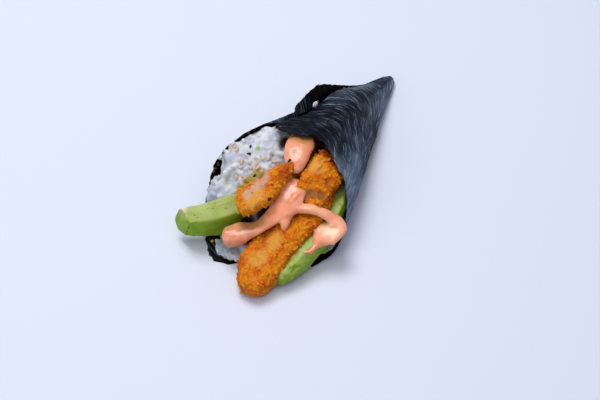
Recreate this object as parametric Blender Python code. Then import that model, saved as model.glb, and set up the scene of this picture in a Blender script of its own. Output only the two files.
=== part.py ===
"""Temaki: a cone of nori lying on its side, open at the mouth, with rice, avocado, breaded strips and sauce.

The roll's axis is Y: the closed tip points to +Y and the open mouth to -Y. Z is up from the surface.
Sizes are worked out in a design frame whose origin is on the ground under the roll, and one empty then
moves the whole roll so that the middle of its footprint is the origin. Tables are in millimetres.
"""

import math

import bmesh
import bpy
import numpy as np
from mathutils import Vector, noise

MM = 0.001

# The footprint's middle in the design frame.
FOOTPRINT_MIDDLE = (-15.0 * MM, -5.5 * MM, 0.0)
# Food that touches keeps this much air, so that each piece stays a separate solid.
CLEARANCE = 0.35 * MM

# Nori cone. Each ruling runs from the apex towards a point of the cross-section at the section plane.
APEX_Y = 97.0 * MM
SECTION_Y = -60.0 * MM
NORI_THICKNESS = 0.4 * MM
# The sheet's underside is pressed flat on the ground wherever it comes this close to it.
PRESSED_FLAT = 0.3 * MM
TIP_REACH = 0.085
# The food inside starts this far out along the rulings.
FILLED_REACH = 0.20
# Rulings in winding order: x and z at the section plane, then how far the sheet reaches along the ruling,
# as a share of the way from the apex to the section plane.
NORI_RULINGS = (
    (-76.0, 78.0, 0.360),
    (-63.0, 60.0, 0.490),
    (-59.0, 49.0, 0.640),
    (-61.0, 40.0, 0.760),
    (-62.5, 30.0, 0.840),
    (-59.5, 15.0, 0.912),
    (-50.0, 4.0, 1.000),
    (-38.0, 0.5, 1.090),
    (-27.0, 0.0, 1.140),
    (-8.0, 0.0, 1.055),
    (13.0, 0.0, 1.020),
    (24.5, 3.0, 1.000),
    (30.0, 13.0, 0.900),
    (29.5, 28.0, 0.838),
    (24.0, 43.0, 0.777),
    (14.5, 54.5, 0.744),
    (2.5, 63.0, 0.712),
    (-8.5, 66.0, 0.694),
    (-20.0, 64.5, 0.715),
    (-34.0, 62.0, 0.700),
    (-46.0, 58.5, 0.655),
    (-50.0, 53.0, 0.620),
    (-53.5, 45.5, 0.570),
    (-57.0, 38.0, 0.500),
)
# Near the tip the loose corner hugs the cone: there its first rulings run towards these points instead.
FLAP_ROOTS = ((-57.5, 57.5), (-60.0, 54.0))
FLAP_HUGS_UNTIL = 0.10
FLAP_FREE_FROM = 0.36
NORI_COLUMNS = 50
NORI_ROWS = 9
# The pinched tip, closed by the twisted end of the sheet.
TIP_PINCH_MIDDLE = (-1.4 * MM, 82.5 * MM, 2.85 * MM)
TIP_PINCH_SIZE = (7.6 * MM, 9.0 * MM, 5.3 * MM)

# Rice: heights of its surface over a grid of stations, and the edge at the front where it stops.
RICE_COLUMN_X = (-58.0, -42.0, -26.0, -8.0, 28.0)
RICE_HEIGHTS = (
    (-80.0, (4.0, 5.0, 8.0, 7.0, 3.0)),
    (-66.0, (6.0, 8.0, 10.0, 7.0, 4.0)),
    (-56.0, (9.0, 14.0, 17.0, 9.0, 5.0)),
    (-46.0, (15.0, 21.0, 26.0, 13.0, 7.0)),
    (-36.0, (23.0, 29.0, 32.0, 18.0, 9.0)),
    (-26.0, (29.0, 34.0, 35.0, 23.0, 10.0)),
    (-16.0, (34.0, 37.0, 36.0, 26.0, 10.0)),
    (-4.0, (36.0, 38.0, 36.0, 27.0, 11.0)),
    (8.0, (38.0, 38.0, 36.0, 27.0, 12.0)),
    (20.0, (60.0, 60.0, 60.0, 60.0, 60.0)),
    (80.0, (60.0, 60.0, 60.0, 60.0, 60.0)),
)
RICE_FRONT_X = (-58.0, -48.0, -38.0, -28.0, -18.0, -6.0, 12.0, 30.0)
RICE_FRONT_Y = (-53.0, -60.0, -68.0, -74.5, -74.0, -66.0, -58.0, -52.0)
RICE_ROUNDING = 4.0 * MM
RICE_LUMP = 1.1 * MM
RICE_LUMP_SPACING = 7.0 * MM
RICE_INSET = 0.85 * MM
RICE_FRONT_REACH = 1.12
RICE_OPENS_OVER = (0.56, 0.66)
RICE_STATIONS = 15
RICE_AROUND = 34
RICE_BELOW = 8.0 * MM
RICE_X_RANGE = (-70.0 * MM, 36.0 * MM)
RICE_Y_RANGE = (-84.0 * MM, 78.0 * MM)
RICE_COLUMNS = 23
RICE_ROWS = 37

STRIP_AROUND = 14
STRIP_END = 4.5 * MM
AVOCADO_AROUND = 14
AVOCADO_END = 5.0 * MM
SAUCE_AROUND = 12
SAUCE_END = 3.0 * MM
SAUCE_THREAD_END = 1.5 * MM
CRUMB_SPACING = 6.0 * MM
CRUMB_DEPTH = 0.7 * MM
STRIPS = ("strip_right", "strip_left", "strip_front", "strip_back")
AVOCADOS = ("avocado_right", "avocado_left")
# The firmer pieces that each softer piece is pressed against.
TOUCHES = {
    "strip_right": (),
    "strip_left": ("strip_right",),
    "strip_front": ("strip_right", "strip_left"),
    "strip_back": ("strip_right", "strip_left"),
    "avocado_right": ("strip_right", "strip_front"),
    "avocado_left": ("strip_left", "strip_front"),
    "sauce_back": ("strip_right", "strip_left", "strip_back"),
    "sauce_drizzle": STRIPS + AVOCADOS + ("sauce_back",),
    "rice_bed": STRIPS + AVOCADOS + ("sauce_back", "sauce_drizzle"),
}

# Pieces laid along a curved spine. Each row: x, y, z, half width, half thickness, roll in degrees.
STRIP_FRONT = (
    (-3.0, -98.0, 6.0, 5.2, 4.6, 0.0),
    (-4.0, -92.0, 6.6, 8.6, 5.4, 0.0),
    (-5.0, -83.0, 7.8, 11.4, 5.8, 0.0),
    (-4.0, -73.0, 10.4, 11.6, 5.8, 0.0),
    (-1.4, -63.0, 14.0, 10.8, 5.8, 0.0),
    (1.6, -53.5, 17.6, 10.4, 5.6, 0.0),
    (4.8, -43.0, 19.6, 10.0, 5.4, 0.0),
    (5.8, -33.0, 19.4, 9.2, 5.0, 0.0),
    (5.0, -25.0, 18.4, 8.2, 4.6, 0.0),
)
STRIP_RIGHT = (
    (3.8, -38.0, 28.2, 8.4, 6.6, 12.0),
    (5.0, -30.0, 30.4, 9.4, 6.8, 18.0),
    (6.0, -19.0, 31.2, 9.4, 6.4, 20.0),
    (5.2, -6.0, 29.2, 8.6, 5.8, 16.0),
    (3.2, 8.0, 25.4, 7.6, 5.2, 10.0),
    (1.5, 18.0, 22.0, 6.6, 4.6, 6.0),
)
STRIP_LEFT = (
    (-23.4, -67.6, 28.4, 5.6, 4.4, 0.0),
    (-21.0, -60.5, 30.0, 7.8, 5.0, 4.0),
    (-16.8, -51.0, 33.0, 7.4, 5.2, 6.0),
    (-13.2, -41.5, 36.4, 6.2, 5.0, 6.0),
    (-11.0, -32.5, 39.0, 4.2, 4.2, 0.0),
)
STRIP_BACK = (
    (-8.4, -31.0, 33.6, 5.4, 4.8, 0.0),
    (-9.4, -22.0, 35.4, 6.4, 5.2, 0.0),
    (-11.0, -10.0, 35.4, 6.8, 5.2, 0.0),
    (-12.0, 2.0, 32.0, 6.4, 5.0, 0.0),
    (-11.5, 13.0, 28.0, 5.6, 4.6, 0.0),
)
AVOCADO_LEFT = (
    (-58.2, -79.0, 17.2, 4.2, 5.0, 0.0),
    (-51.6, -75.0, 17.8, 5.6, 7.6, 0.0),
    (-43.8, -68.6, 18.0, 6.0, 8.4, 0.0),
    (-36.4, -60.6, 18.0, 6.0, 8.4, 0.0),
    (-29.4, -52.0, 17.6, 5.6, 7.8, 0.0),
    (-23.6, -44.4, 17.4, 4.8, 6.6, 0.0),
    (-19.0, -38.0, 17.4, 3.6, 5.0, 0.0),
)
AVOCADO_RIGHT = (
    (4.4, -82.0, 6.2, 4.0, 4.0, 0.0),
    (7.0, -76.0, 7.6, 6.2, 5.4, 0.0),
    (10.4, -67.5, 9.4, 6.8, 6.6, 0.0),
    (14.2, -57.0, 11.4, 6.8, 7.2, 0.0),
    (17.4, -46.0, 13.2, 6.4, 7.6, 0.0),
    (18.2, -35.0, 15.4, 5.6, 7.6, 0.0),
    (15.6, -20.0, 16.6, 5.0, 7.0, 0.0),
    (11.5, -6.0, 15.6, 4.4, 6.0, 0.0),
    (8.0, 6.0, 14.0, 3.6, 4.8, 0.0),
)
SAUCE_BACK = (
    (-14.2, -4.0, 40.2, 3.0, 2.2, 0.0),
    (-12.6, -12.0, 41.4, 6.4, 3.2, 0.0),
    (-10.8, -20.0, 41.8, 7.6, 3.7, 0.0),
    (-8.6, -27.5, 40.2, 5.8, 3.9, 0.0),
    (-6.2, -34.2, 37.0, 2.8, 2.8, 0.0),
)
SAUCE_POOL = (
    (-5.0, -35.6, 33.6, 4.4, 2.8, 0.0),
    (-5.4, -42.6, 31.2, 6.6, 3.6, 0.0),
    (-6.2, -49.6, 28.8, 7.8, 3.7, 0.0),
    (-9.4, -56.0, 26.0, 6.4, 3.5, 0.0),
    (-15.0, -61.8, 22.2, 4.4, 3.4, 0.0),
    (-20.2, -67.0, 18.2, 4.8, 4.2, 0.0),
    (-24.4, -71.0, 15.6, 6.4, 5.7, 0.0),
    (-28.4, -73.8, 14.8, 6.0, 5.4, 0.0),
    (-31.0, -75.4, 14.6, 4.8, 4.4, 0.0),
)
SAUCE_CURL = (
    (-1.8, -52.5, 28.0, 3.2, 2.6, 0.0),
    (2.2, -48.2, 27.8, 2.8, 2.4, 0.0),
    (8.0, -45.0, 27.2, 2.6, 2.3, 0.0),
    (14.6, -43.2, 25.6, 2.8, 2.4, 0.0),
    (21.4, -43.0, 22.8, 3.4, 2.6, 0.0),
    (24.6, -47.4, 20.6, 4.4, 2.9, 0.0),
    (21.4, -52.6, 19.0, 6.2, 3.0, 0.0),
    (17.6, -57.6, 17.0, 3.6, 2.2, 0.0),
    (15.6, -61.8, 15.6, 1.4, 1.3, 0.0),
    (11.6, -63.6, 15.0, 0.9, 0.9, 0.0),
)
SAUCE_PRONG_LEFT = (
    (-7.0, -51.0, 28.2, 3.4, 2.6, 0.0),
    (-7.0, -57.0, 25.6, 3.0, 2.4, 0.0),
    (-6.6, -62.6, 22.0, 1.2, 1.8, 0.0),
)
SAUCE_PRONG_RIGHT = (
    (0.0, -49.0, 28.0, 3.0, 2.4, 0.0),
    (2.0, -56.0, 25.4, 2.4, 2.2, 0.0),
    (3.4, -61.6, 22.8, 1.0, 1.6, 0.0),
)


def smooth_rows(rows, count):
    """A smooth Catmull-Rom curve through the rows of numbers, read at evenly spaced parameters."""
    rows = np.asarray(rows, float)
    padded = np.vstack([2 * rows[0] - rows[1], rows, 2 * rows[-1] - rows[-2]])
    place = np.linspace(0, len(rows) - 1, count)
    start = np.minimum(place.astype(int), len(rows) - 2)
    share = (place - start)[:, None]
    a, b, c, d = (padded[start + step] for step in range(4))
    return 0.5 * (
        2 * b + (c - a) * share + (2 * a - 5 * b + 4 * c - d) * share**2 + (3 * b - a - 3 * c + d) * share**3
    )


def smooth_step(low, high, value):
    """0 below low, 1 above high, and a smooth rise between them."""
    share = np.clip((value - low) / (high - low), 0, 1)
    return share * share * (3 - 2 * share)


def lumps(points, spacing, depth):
    """An uneven offset for each point, up to about the depth, with lumps of the given spacing."""
    flat = points.reshape(-1, 3) / spacing
    return depth * np.array([noise.noise(Vector(point)) for point in flat]).reshape(points.shape[:-1])


def on_ruling(x, z, reach):
    """The point at this share of the way from the apex to (x, z) on the section plane."""
    return np.stack(np.broadcast_arrays(x * reach, APEX_Y + (SECTION_Y - APEX_Y) * reach, z * reach), axis=-1)


def grid_faces(rows, columns, closed):
    """Quads that join a grid of points, row by row; a closed grid also joins its last column to its first."""
    spans = columns if closed else columns - 1
    return [
        (
            row * columns + column,
            row * columns + (column + 1) % columns,
            (row + 1) * columns + (column + 1) % columns,
            (row + 1) * columns + column,
        )
        for row in range(rows - 1)
        for column in range(spans)
    ]


def material(name, colour, roughness):
    """A plain Principled material in the food's own colour."""
    made = bpy.data.materials.new(name)
    made.use_nodes = True
    shader = made.node_tree.nodes["Principled BSDF"]
    shader.inputs["Base Color"].default_value = (*colour, 1.0)
    shader.inputs["Roughness"].default_value = roughness
    shader.inputs["Metallic"].default_value = 0.0
    return made


def new_object(name, points, faces, look, collection, parent):
    """An object made of these points and faces, with its faces turned outwards and shaded smooth."""
    mesh = bpy.data.meshes.new(name)
    mesh.from_pydata(points.reshape(-1, 3).tolist(), [], faces)
    work = bmesh.new()
    work.from_mesh(mesh)
    bmesh.ops.recalc_face_normals(work, faces=work.faces)
    work.to_mesh(mesh)
    work.free()
    mesh.materials.append(look)
    mesh.shade_smooth()
    made = bpy.data.objects.new(name, mesh)
    made.parent = parent
    collection.objects.link(made)
    return made


def closed_tube(name, rings, look, collection, parent):
    """A closed solid through a row of rings, with a flat cap at each end."""
    rows, columns = rings.shape[:2]
    caps = [tuple(range(columns)), tuple((rows - 1) * columns + column for column in range(columns))]
    return new_object(name, rings, grid_faces(rows, columns, True) + caps, look, collection, parent)


def slab_between(name, first, second, look, collection, parent):
    """A closed solid between two grids of points, which are joined all round their edges."""
    rows, columns = first.shape[:2]
    count = rows * columns
    faces = grid_faces(rows, columns, False)
    faces += [tuple(corner + count for corner in face) for face in faces]
    edge = (
        [column for column in range(columns)]
        + [row * columns + columns - 1 for row in range(1, rows)]
        + [(rows - 1) * columns + column for column in range(columns - 2, -1, -1)]
        + [row * columns for row in range(rows - 2, 0, -1)]
    )
    faces += [(a, b, b + count, a + count) for a, b in zip(edge, edge[1:] + edge[:1])]
    return new_object(name, np.stack([first, second]), faces, look, collection, parent)


def rounded_outline(count, squareness):
    """A superellipse with half axes of 1: 2 is an ellipse, and larger is closer to a rectangle."""
    angle = np.linspace(0, 2 * math.pi, count, endpoint=False)
    return np.stack(
        [
            np.sign(np.cos(angle)) * np.abs(np.cos(angle)) ** (2 / squareness),
            np.sign(np.sin(angle)) * np.abs(np.sin(angle)) ** (2 / squareness),
        ],
        axis=-1,
    )


def wedge_outline(count):
    """A slice's outline: a flat top, a flat inner face and a bulging outer face that meet at soft corners."""
    height = np.sin(np.linspace(0, 2 * math.pi, count, endpoint=False))
    lean = 1 - 0.22 * height
    return rounded_outline(count, 3.0) * np.stack([(0.8 + 0.2 * height) * lean, lean], axis=-1)


def spine_rings(rows, outline, count, end_length, end_squareness):
    """Rings of the outline along the spine, shrinking to small rounded ends over the end length."""
    turn = 2 * math.pi * np.linspace(0, 1, count)
    even = np.linspace(0, 1, 8 * count)
    fine = smooth_rows(rows, 8 * count) * ([MM] * 5 + [1.0])
    along = np.concatenate([[0], np.cumsum(np.linalg.norm(np.diff(fine[:, :3], axis=0), axis=1))])
    # Rings stand closer together near both ends, where the piece rounds off.
    wanted = (np.linspace(0, 1, count) - 0.11 * np.sin(turn)) * along[-1]
    shares = np.interp(wanted, along, even)
    row = np.stack([np.interp(shares, even, fine[:, column]) for column in range(6)], axis=-1)
    centre, half_width, half_height, roll = row[:, :3], row[:, 3], row[:, 4], np.radians(row[:, 5])
    ahead = np.gradient(centre, axis=0)
    ahead /= np.linalg.norm(ahead, axis=1)[:, None]
    side = np.cross(ahead, (0.0, 0.0, 1.0))
    side /= np.linalg.norm(side, axis=1)[:, None]
    up = np.cross(side, ahead)
    side, up = (
        side * np.cos(roll)[:, None] - up * np.sin(roll)[:, None],
        up * np.cos(roll)[:, None] + side * np.sin(roll)[:, None],
    )
    from_end = np.minimum(wanted, along[-1] - wanted)
    short = 1 - np.clip(from_end / end_length, 0, 0.999)
    shrink = np.maximum((1 - short**end_squareness) ** (1 / end_squareness), 0.3)
    across = side[:, None, :] * (outline[None, :, 0:1] * (half_width * shrink)[:, None, None])
    upward = up[:, None, :] * (outline[None, :, 1:2] * (half_height * shrink)[:, None, None])
    return centre[:, None, :] + across + upward


def swell(rings, spacing, depth):
    """The rings with their points moved in and out from the ring's middle by uneven lumps."""
    middle = rings.mean(axis=1, keepdims=True)
    outward = rings - middle
    length = np.linalg.norm(outward, axis=-1, keepdims=True)
    return rings + outward / length * lumps(rings, spacing, depth)[..., None]


def nori_points(tip_reach):
    """The sheet's middle surface from this reach outwards, as a grid with a column for each ruling."""
    rooted = FLAP_ROOTS + tuple(ruling[:2] for ruling in NORI_RULINGS[len(FLAP_ROOTS):])
    free = smooth_rows(NORI_RULINGS, NORI_COLUMNS)
    root = smooth_rows(rooted, NORI_COLUMNS)
    down = np.linspace(0, 1, NORI_ROWS)[:, None]
    reach = tip_reach + (free[None, :, 2] - tip_reach) * down
    loose = smooth_step(FLAP_HUGS_UNTIL, FLAP_FREE_FROM, reach)
    x = (root[None, :, 0] * (1 - loose) + free[None, :, 0] * loose) * MM
    z = (root[None, :, 1] * (1 - loose) + free[None, :, 1] * loose) * MM
    points = on_ruling(x, np.maximum(z, 0.0), reach)
    points[..., 2] += NORI_THICKNESS / 2
    return points


def nori_sheet(name, tip_reach, thickness, collection, parent, look):
    """The nori: the ruled surface, from this reach outwards, made into a sheet of this thickness."""
    middle = nori_points(tip_reach)
    inward = np.cross(np.gradient(middle, axis=0), np.gradient(middle, axis=1))
    inward /= np.linalg.norm(inward, axis=-1, keepdims=True)
    inside = middle + inward * thickness / 2
    outside = middle - inward * thickness / 2
    outside[..., 2] = np.where(outside[..., 2] < PRESSED_FLAT, 0.0, outside[..., 2])
    return slab_between(name, inside, outside, look, collection, parent)


def tip_pinch(name, collection, parent, look):
    """The twisted end that closes the cone's tip, an ellipsoid."""
    ball = bmesh.new()
    bmesh.ops.create_uvsphere(ball, u_segments=16, v_segments=10, radius=0.5)
    bmesh.ops.scale(ball, vec=TIP_PINCH_SIZE, verts=ball.verts)
    bmesh.ops.translate(ball, vec=TIP_PINCH_MIDDLE, verts=ball.verts)
    mesh = bpy.data.meshes.new(name)
    ball.to_mesh(mesh)
    ball.free()
    mesh.materials.append(look)
    mesh.shade_smooth()
    made = bpy.data.objects.new(name, mesh)
    made.parent = parent
    collection.objects.link(made)
    return made


def inset_loop(rulings):
    """Points round the cross-section of these rulings, and the directions that point into it."""
    loop = smooth_rows([ruling[:2] for ruling in rulings], RICE_AROUND) * MM
    along = np.roll(loop, -1, axis=0) - np.roll(loop, 1, axis=0)
    inward = np.stack([-along[:, 1], along[:, 0]], axis=-1)
    return loop, inward / np.linalg.norm(inward, axis=1)[:, None]


def cone_inside(name, collection, parent, look):
    """A solid that fills the cone out to a small gap from the nori, and on past the mouth.

    Deep in the cone it stays below the tucked end of the sheet. At the mouth it rises to the wall's edge.
    """
    deep, deep_inward = inset_loop(NORI_RULINGS[4:19])
    wide, wide_inward = inset_loop(NORI_RULINGS[3:20])
    rings = []
    for reach in np.linspace(FILLED_REACH + 0.02, RICE_FRONT_REACH, RICE_STATIONS):
        open_share = smooth_step(*RICE_OPENS_OVER, reach)
        loop = deep * (1 - open_share) + wide * open_share
        inward = deep_inward * (1 - open_share) + wide_inward * open_share
        ring = on_ruling(loop[:, 0], loop[:, 1], reach)
        ring[:, 0] += inward[:, 0] * RICE_INSET
        ring[:, 2] += inward[:, 1] * RICE_INSET + NORI_THICKNESS / 2
        rings.append(ring)
    return closed_tube(name, np.array(rings), look, collection, parent)


def rice_heights(x, y):
    """The height of the rice's surface over the ground, dropping away at its front edge."""
    stations = np.array([station for station, _ in RICE_HEIGHTS]) * MM
    heights = np.array([row for _, row in RICE_HEIGHTS]) * MM
    at_station = np.stack([np.interp(y, stations, column) for column in heights.T], axis=-1)
    columns = np.array(RICE_COLUMN_X) * MM
    place = np.interp(x, columns, np.arange(len(columns)))
    start = np.minimum(place.astype(int), len(columns) - 2)
    share = place - start
    share = share * share * (3 - 2 * share)
    low = np.take_along_axis(at_station, start[..., None], -1)[..., 0]
    high = np.take_along_axis(at_station, start[..., None] + 1, -1)[..., 0]
    height = low * (1 - share) + high * share
    front = np.interp(x, np.array(RICE_FRONT_X) * MM, np.array(RICE_FRONT_Y) * MM)
    drop = np.sqrt(np.clip((y - front) / RICE_ROUNDING, 0, 1))
    return height * drop - RICE_BELOW * (1 - drop)


def rice_block(name, collection, parent, look):
    """A block from below the ground up to the rice's surface."""
    x, y = np.meshgrid(
        np.linspace(RICE_X_RANGE[0], RICE_X_RANGE[1], RICE_COLUMNS),
        np.linspace(RICE_Y_RANGE[0], RICE_Y_RANGE[1], RICE_ROWS),
        indexing="xy",
    )
    top = np.stack([x, y, rice_heights(x, y)], axis=-1)
    top[..., 2] += lumps(top, RICE_LUMP_SPACING, RICE_LUMP)
    bottom = top.copy()
    bottom[..., 2] = -2 * RICE_BELOW
    return slab_between(name, top, bottom, look, collection, parent)


def boolean(target, cutter, operation):
    """A Boolean on the target with the EXACT solver, which stays as a modifier."""
    step = target.modifiers.new(cutter.name, "BOOLEAN")
    step.operation = operation
    step.solver = "EXACT"
    step.object = cutter


def grown_copy(piece, cutters):
    """A cutter: the piece as it stands, swollen by the clearance."""
    cutter = piece.copy()
    cutter.name = piece.name + "_space"
    cutters.objects.link(cutter)
    swollen = cutter.modifiers.new("Clearance", "DISPLACE")
    swollen.strength = CLEARANCE
    swollen.mid_level = 0.0
    return cutter


def main():
    for old in list(bpy.data.objects):
        bpy.data.objects.remove(old, do_unlink=True)
    temaki = bpy.data.collections.new("temaki")
    cutters = bpy.data.collections.new("cutters")
    bpy.context.scene.collection.children.link(temaki)
    bpy.context.scene.collection.children.link(cutters)
    root = bpy.data.objects.new("roll", None)
    temaki.objects.link(root)
    root.location = [-value for value in FOOTPRINT_MIDDLE]

    nori_look = material("nori", (0.018, 0.024, 0.026), 0.5)
    rice_look = material("rice", (0.66, 0.70, 0.74), 0.4)
    crumb_look = material("breading", (0.62, 0.24, 0.04), 0.7)
    avocado_look = material("avocado", (0.34, 0.50, 0.07), 0.45)
    sauce_look = material("sauce", (0.80, 0.37, 0.24), 0.25)

    slab = rounded_outline(STRIP_AROUND, 2.8)
    wedge = wedge_outline(AVOCADO_AROUND)
    bead = rounded_outline(SAUCE_AROUND, 2.0)

    def strip(name, rows, count):
        rings = swell(spine_rings(rows, slab, count, STRIP_END, 2.4), CRUMB_SPACING, CRUMB_DEPTH)
        return closed_tube(name, rings, crumb_look, temaki, root)

    def wedge_slice(name, rows, count):
        rings = spine_rings(rows, wedge, count, AVOCADO_END, 2.2)
        return closed_tube(name, rings, avocado_look, temaki, root)

    def sauce(name, rows, count, end_length, collection):
        rings = spine_rings(rows, bead, count, end_length, 2.0)
        return closed_tube(name, rings, sauce_look, collection, root)

    nori = nori_sheet("nori_sheet", TIP_REACH, NORI_THICKNESS, temaki, root, nori_look)
    boolean(nori, tip_pinch("tip_pinch_shape", cutters, root, nori_look), "UNION")
    space_thickness = NORI_THICKNESS + 2 * CLEARANCE
    nori_space = nori_sheet("nori_space", FILLED_REACH, space_thickness, cutters, root, nori_look)

    # Firmest first: each piece gives way to all the pieces before it.
    pieces = [
        strip("strip_right", STRIP_RIGHT, 17),
        strip("strip_left", STRIP_LEFT, 15),
        strip("strip_front", STRIP_FRONT, 22),
        strip("strip_back", STRIP_BACK, 15),
        wedge_slice("avocado_right", AVOCADO_RIGHT, 22),
        wedge_slice("avocado_left", AVOCADO_LEFT, 18),
    ]
    drizzle = sauce("sauce_drizzle", SAUCE_POOL, 20, SAUCE_END, temaki)
    for name, rows, count in (
        ("sauce_curl_shape", SAUCE_CURL, 30),
        ("sauce_prong_left_shape", SAUCE_PRONG_LEFT, 9),
        ("sauce_prong_right_shape", SAUCE_PRONG_RIGHT, 9),
    ):
        boolean(drizzle, sauce(name, rows, count, SAUCE_THREAD_END, cutters), "UNION")
    rice = rice_block("rice_bed", temaki, root, rice_look)
    boolean(rice, cone_inside("cone_inside_shape", cutters, root, rice_look), "INTERSECT")
    pieces += [sauce("sauce_back", SAUCE_BACK, 14, SAUCE_END, temaki), drizzle, rice]

    for order, piece in enumerate(pieces):
        boolean(piece, nori_space, "DIFFERENCE")
        for firmer in pieces[:order]:
            if firmer.name in TOUCHES[piece.name]:
                boolean(piece, grown_copy(firmer, cutters), "DIFFERENCE")

    for cutter in cutters.objects:
        cutter.hide_render = True
        cutter.display_type = "WIRE"


main()
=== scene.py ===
"""The temaki's looks: every visible surface of the hand roll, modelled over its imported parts.

The roll lies along Y with its open mouth to -Y. Shapes are worked out in millimetres in the roll's own frame,
whose origin is on the ground under the cone's axis. new_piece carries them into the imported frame, in metres.
"""

import itertools
import math

import bmesh
import bpy
import numpy as np
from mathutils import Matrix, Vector
from mathutils.bvhtree import BVHTree


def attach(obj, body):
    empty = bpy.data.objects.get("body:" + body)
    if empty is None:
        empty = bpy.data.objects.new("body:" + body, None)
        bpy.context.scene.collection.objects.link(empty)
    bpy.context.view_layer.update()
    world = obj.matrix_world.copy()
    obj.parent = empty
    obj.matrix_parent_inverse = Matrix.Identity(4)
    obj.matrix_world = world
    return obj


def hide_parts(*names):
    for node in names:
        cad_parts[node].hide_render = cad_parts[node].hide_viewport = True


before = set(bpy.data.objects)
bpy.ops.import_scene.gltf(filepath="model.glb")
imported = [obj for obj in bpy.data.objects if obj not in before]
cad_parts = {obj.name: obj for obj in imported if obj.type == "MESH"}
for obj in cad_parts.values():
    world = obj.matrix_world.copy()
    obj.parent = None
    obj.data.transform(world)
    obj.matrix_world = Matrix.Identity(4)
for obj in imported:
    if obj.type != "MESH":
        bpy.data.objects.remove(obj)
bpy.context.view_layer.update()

MM = 0.001
# Where the roll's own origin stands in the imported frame, in millimetres.
ROLL_ORIGIN = np.array((15.0, 5.5, 0.0))
BODY = "root"

# Camera: what it looks at, and how it stands to it.
CAMERA_TARGET = Vector((0.0053, -0.0161, 0.0))
CAMERA_DISTANCE = 0.9087
CAMERA_TURN = math.radians(26.0)
CAMERA_HEIGHT = math.radians(50.2)
CAMERA_LENS = 96.2

# ---------- Curves and unevenness ----------


def curve_at(rows, place):
    """The smooth Catmull-Rom curve through the rows of numbers, read at these places, counted in rows."""
    rows = np.asarray(rows, float)
    padded = np.vstack([2 * rows[0] - rows[1], rows, 2 * rows[-1] - rows[-2]])
    start = np.clip(place.astype(int), 0, len(rows) - 2)
    share = (place - start)[..., None]
    a, b, c, d = (padded[start + step] for step in range(4))
    return 0.5 * (
        2 * b + (c - a) * share + (2 * a - 5 * b + 4 * c - d) * share**2 + (3 * b - a - 3 * c + d) * share**3
    )


def smooth_step(low, high, value):
    """0 below low, 1 above high, and a smooth rise between them."""
    share = np.clip((value - low) / (high - low), 0, 1)
    return share * share * (3 - 2 * share)


def cell_numbers(cells, seed):
    """A random number from 0 to 1 for each whole-numbered cell, mixed from its three numbers and the seed."""
    x, y, z = np.moveaxis(cells.astype(np.int64), -1, 0)
    mixed = (x * 374761393 + y * 668265263 + z * 974634777 + seed * 362437) & 0xFFFFFFFF
    mixed = ((mixed ^ (mixed >> 13)) * 1274126177) & 0xFFFFFFFF
    return ((mixed ^ (mixed >> 16)) & 0xFFFFFF) / 0xFFFFFF


def lumps(points, spacing, seed=0):
    """Smooth uneven numbers from -1 to 1: random values at the corners of cubes of this spacing, blended
    inside each cube by the smooth step of the place in it."""
    place = points / spacing
    corner = np.floor(place)
    share = place - corner
    share = share * share * (3 - 2 * share)
    total = 0.0
    for offset in itertools.product((0, 1), repeat=3):
        weight = np.prod(np.where(offset, share, 1 - share), axis=-1)
        total = total + weight * cell_numbers(corner + offset, seed)
    return 2 * total - 1


def lump_layers(points, layers):
    """Layers of lumps added up, each a height, a spacing and a seed."""
    return sum(height * lumps(points, spacing, seed) for height, spacing, seed in layers)


def dab(points, middle, size):
    """1 at the middle of a soft patch, and 0 beyond its size, which may differ along x, y and z."""
    away = np.linalg.norm((points - np.array(middle)) / np.array(size), axis=-1)
    return 1 - smooth_step(0.35, 1.0, away)


def dabs(points, patches):
    """The strongest of several soft patches at each point, and 0 where there are none."""
    nothing = np.zeros(points.shape[:-1])
    return np.max([nothing, *(dab(points, middle, size) for middle, size in patches)], axis=0)


def unit(vectors):
    """The vectors, each made 1 long."""
    return vectors / np.maximum(np.linalg.norm(vectors, axis=-1, keepdims=True), 1e-9)


# ---------- Surfaces and meshes ----------


def sheet_faces(rows, columns):
    """Quads that join a grid of points, row by row."""
    corner = np.arange(rows * columns).reshape(rows, columns)
    return np.stack([corner[:-1, :-1], corner[:-1, 1:], corner[1:, 1:], corner[1:, :-1]], -1).reshape(-1, 4)


def tube_faces(rows, columns):
    """Quads round a grid whose last column meets its first, and triangles from each end ring to a pole.
    The poles are the two points after the grid."""
    corner = np.arange(rows * columns).reshape(rows, columns)
    beside = np.roll(corner, -1, axis=1)
    sides = np.stack([corner[:-1], corner[1:], beside[1:], beside[:-1]], -1).reshape(-1, 4)
    poles = np.full(columns, rows * columns)
    first = np.stack([corner[0], beside[0], poles], -1)
    last = np.stack([beside[-1], corner[-1], poles + 1], -1)
    return [sides, first, last]


def with_poles(rings):
    """A grid of rings as a list of points, with the middles of the first and last rings after them."""
    return np.vstack([rings.reshape(-1, 3), rings[0].mean(axis=0), rings[-1].mean(axis=0)])


def closed_tube(rings):
    """A closed solid whose skin is this grid of rings: its points, poles included, and its faces."""
    return with_poles(rings), tube_faces(*rings.shape[:2])


def grid_normals(points, closed):
    """The direction square to the surface at each point of a grid: the cross product of its two steps."""
    down = np.gradient(points, axis=0)
    if closed:
        across = np.roll(points, -1, axis=1) - np.roll(points, 1, axis=1)
    else:
        across = np.gradient(points, axis=1)
    return unit(np.cross(down, across))


def at_corners(corners, values, count):
    """The sum, for each of this many points, of the values that belong to the corners that lie on it."""
    return np.stack([np.bincount(corners, values[:, axis], count) for axis in range(3)], axis=-1)


def skin_normals(points, faces):
    """The direction square to a skin at each point: the sum of the crossed edges of the triangles that meet
    there, or of the crossed diagonals of the quads."""
    a, b, c, *rest = (points[faces[:, corner]] for corner in range(faces.shape[1]))
    square = np.cross(c - a, rest[0] - b) if rest else np.cross(b - a, c - a)
    return unit(at_corners(faces.ravel(), np.repeat(square, faces.shape[1], axis=0), len(points)))


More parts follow.
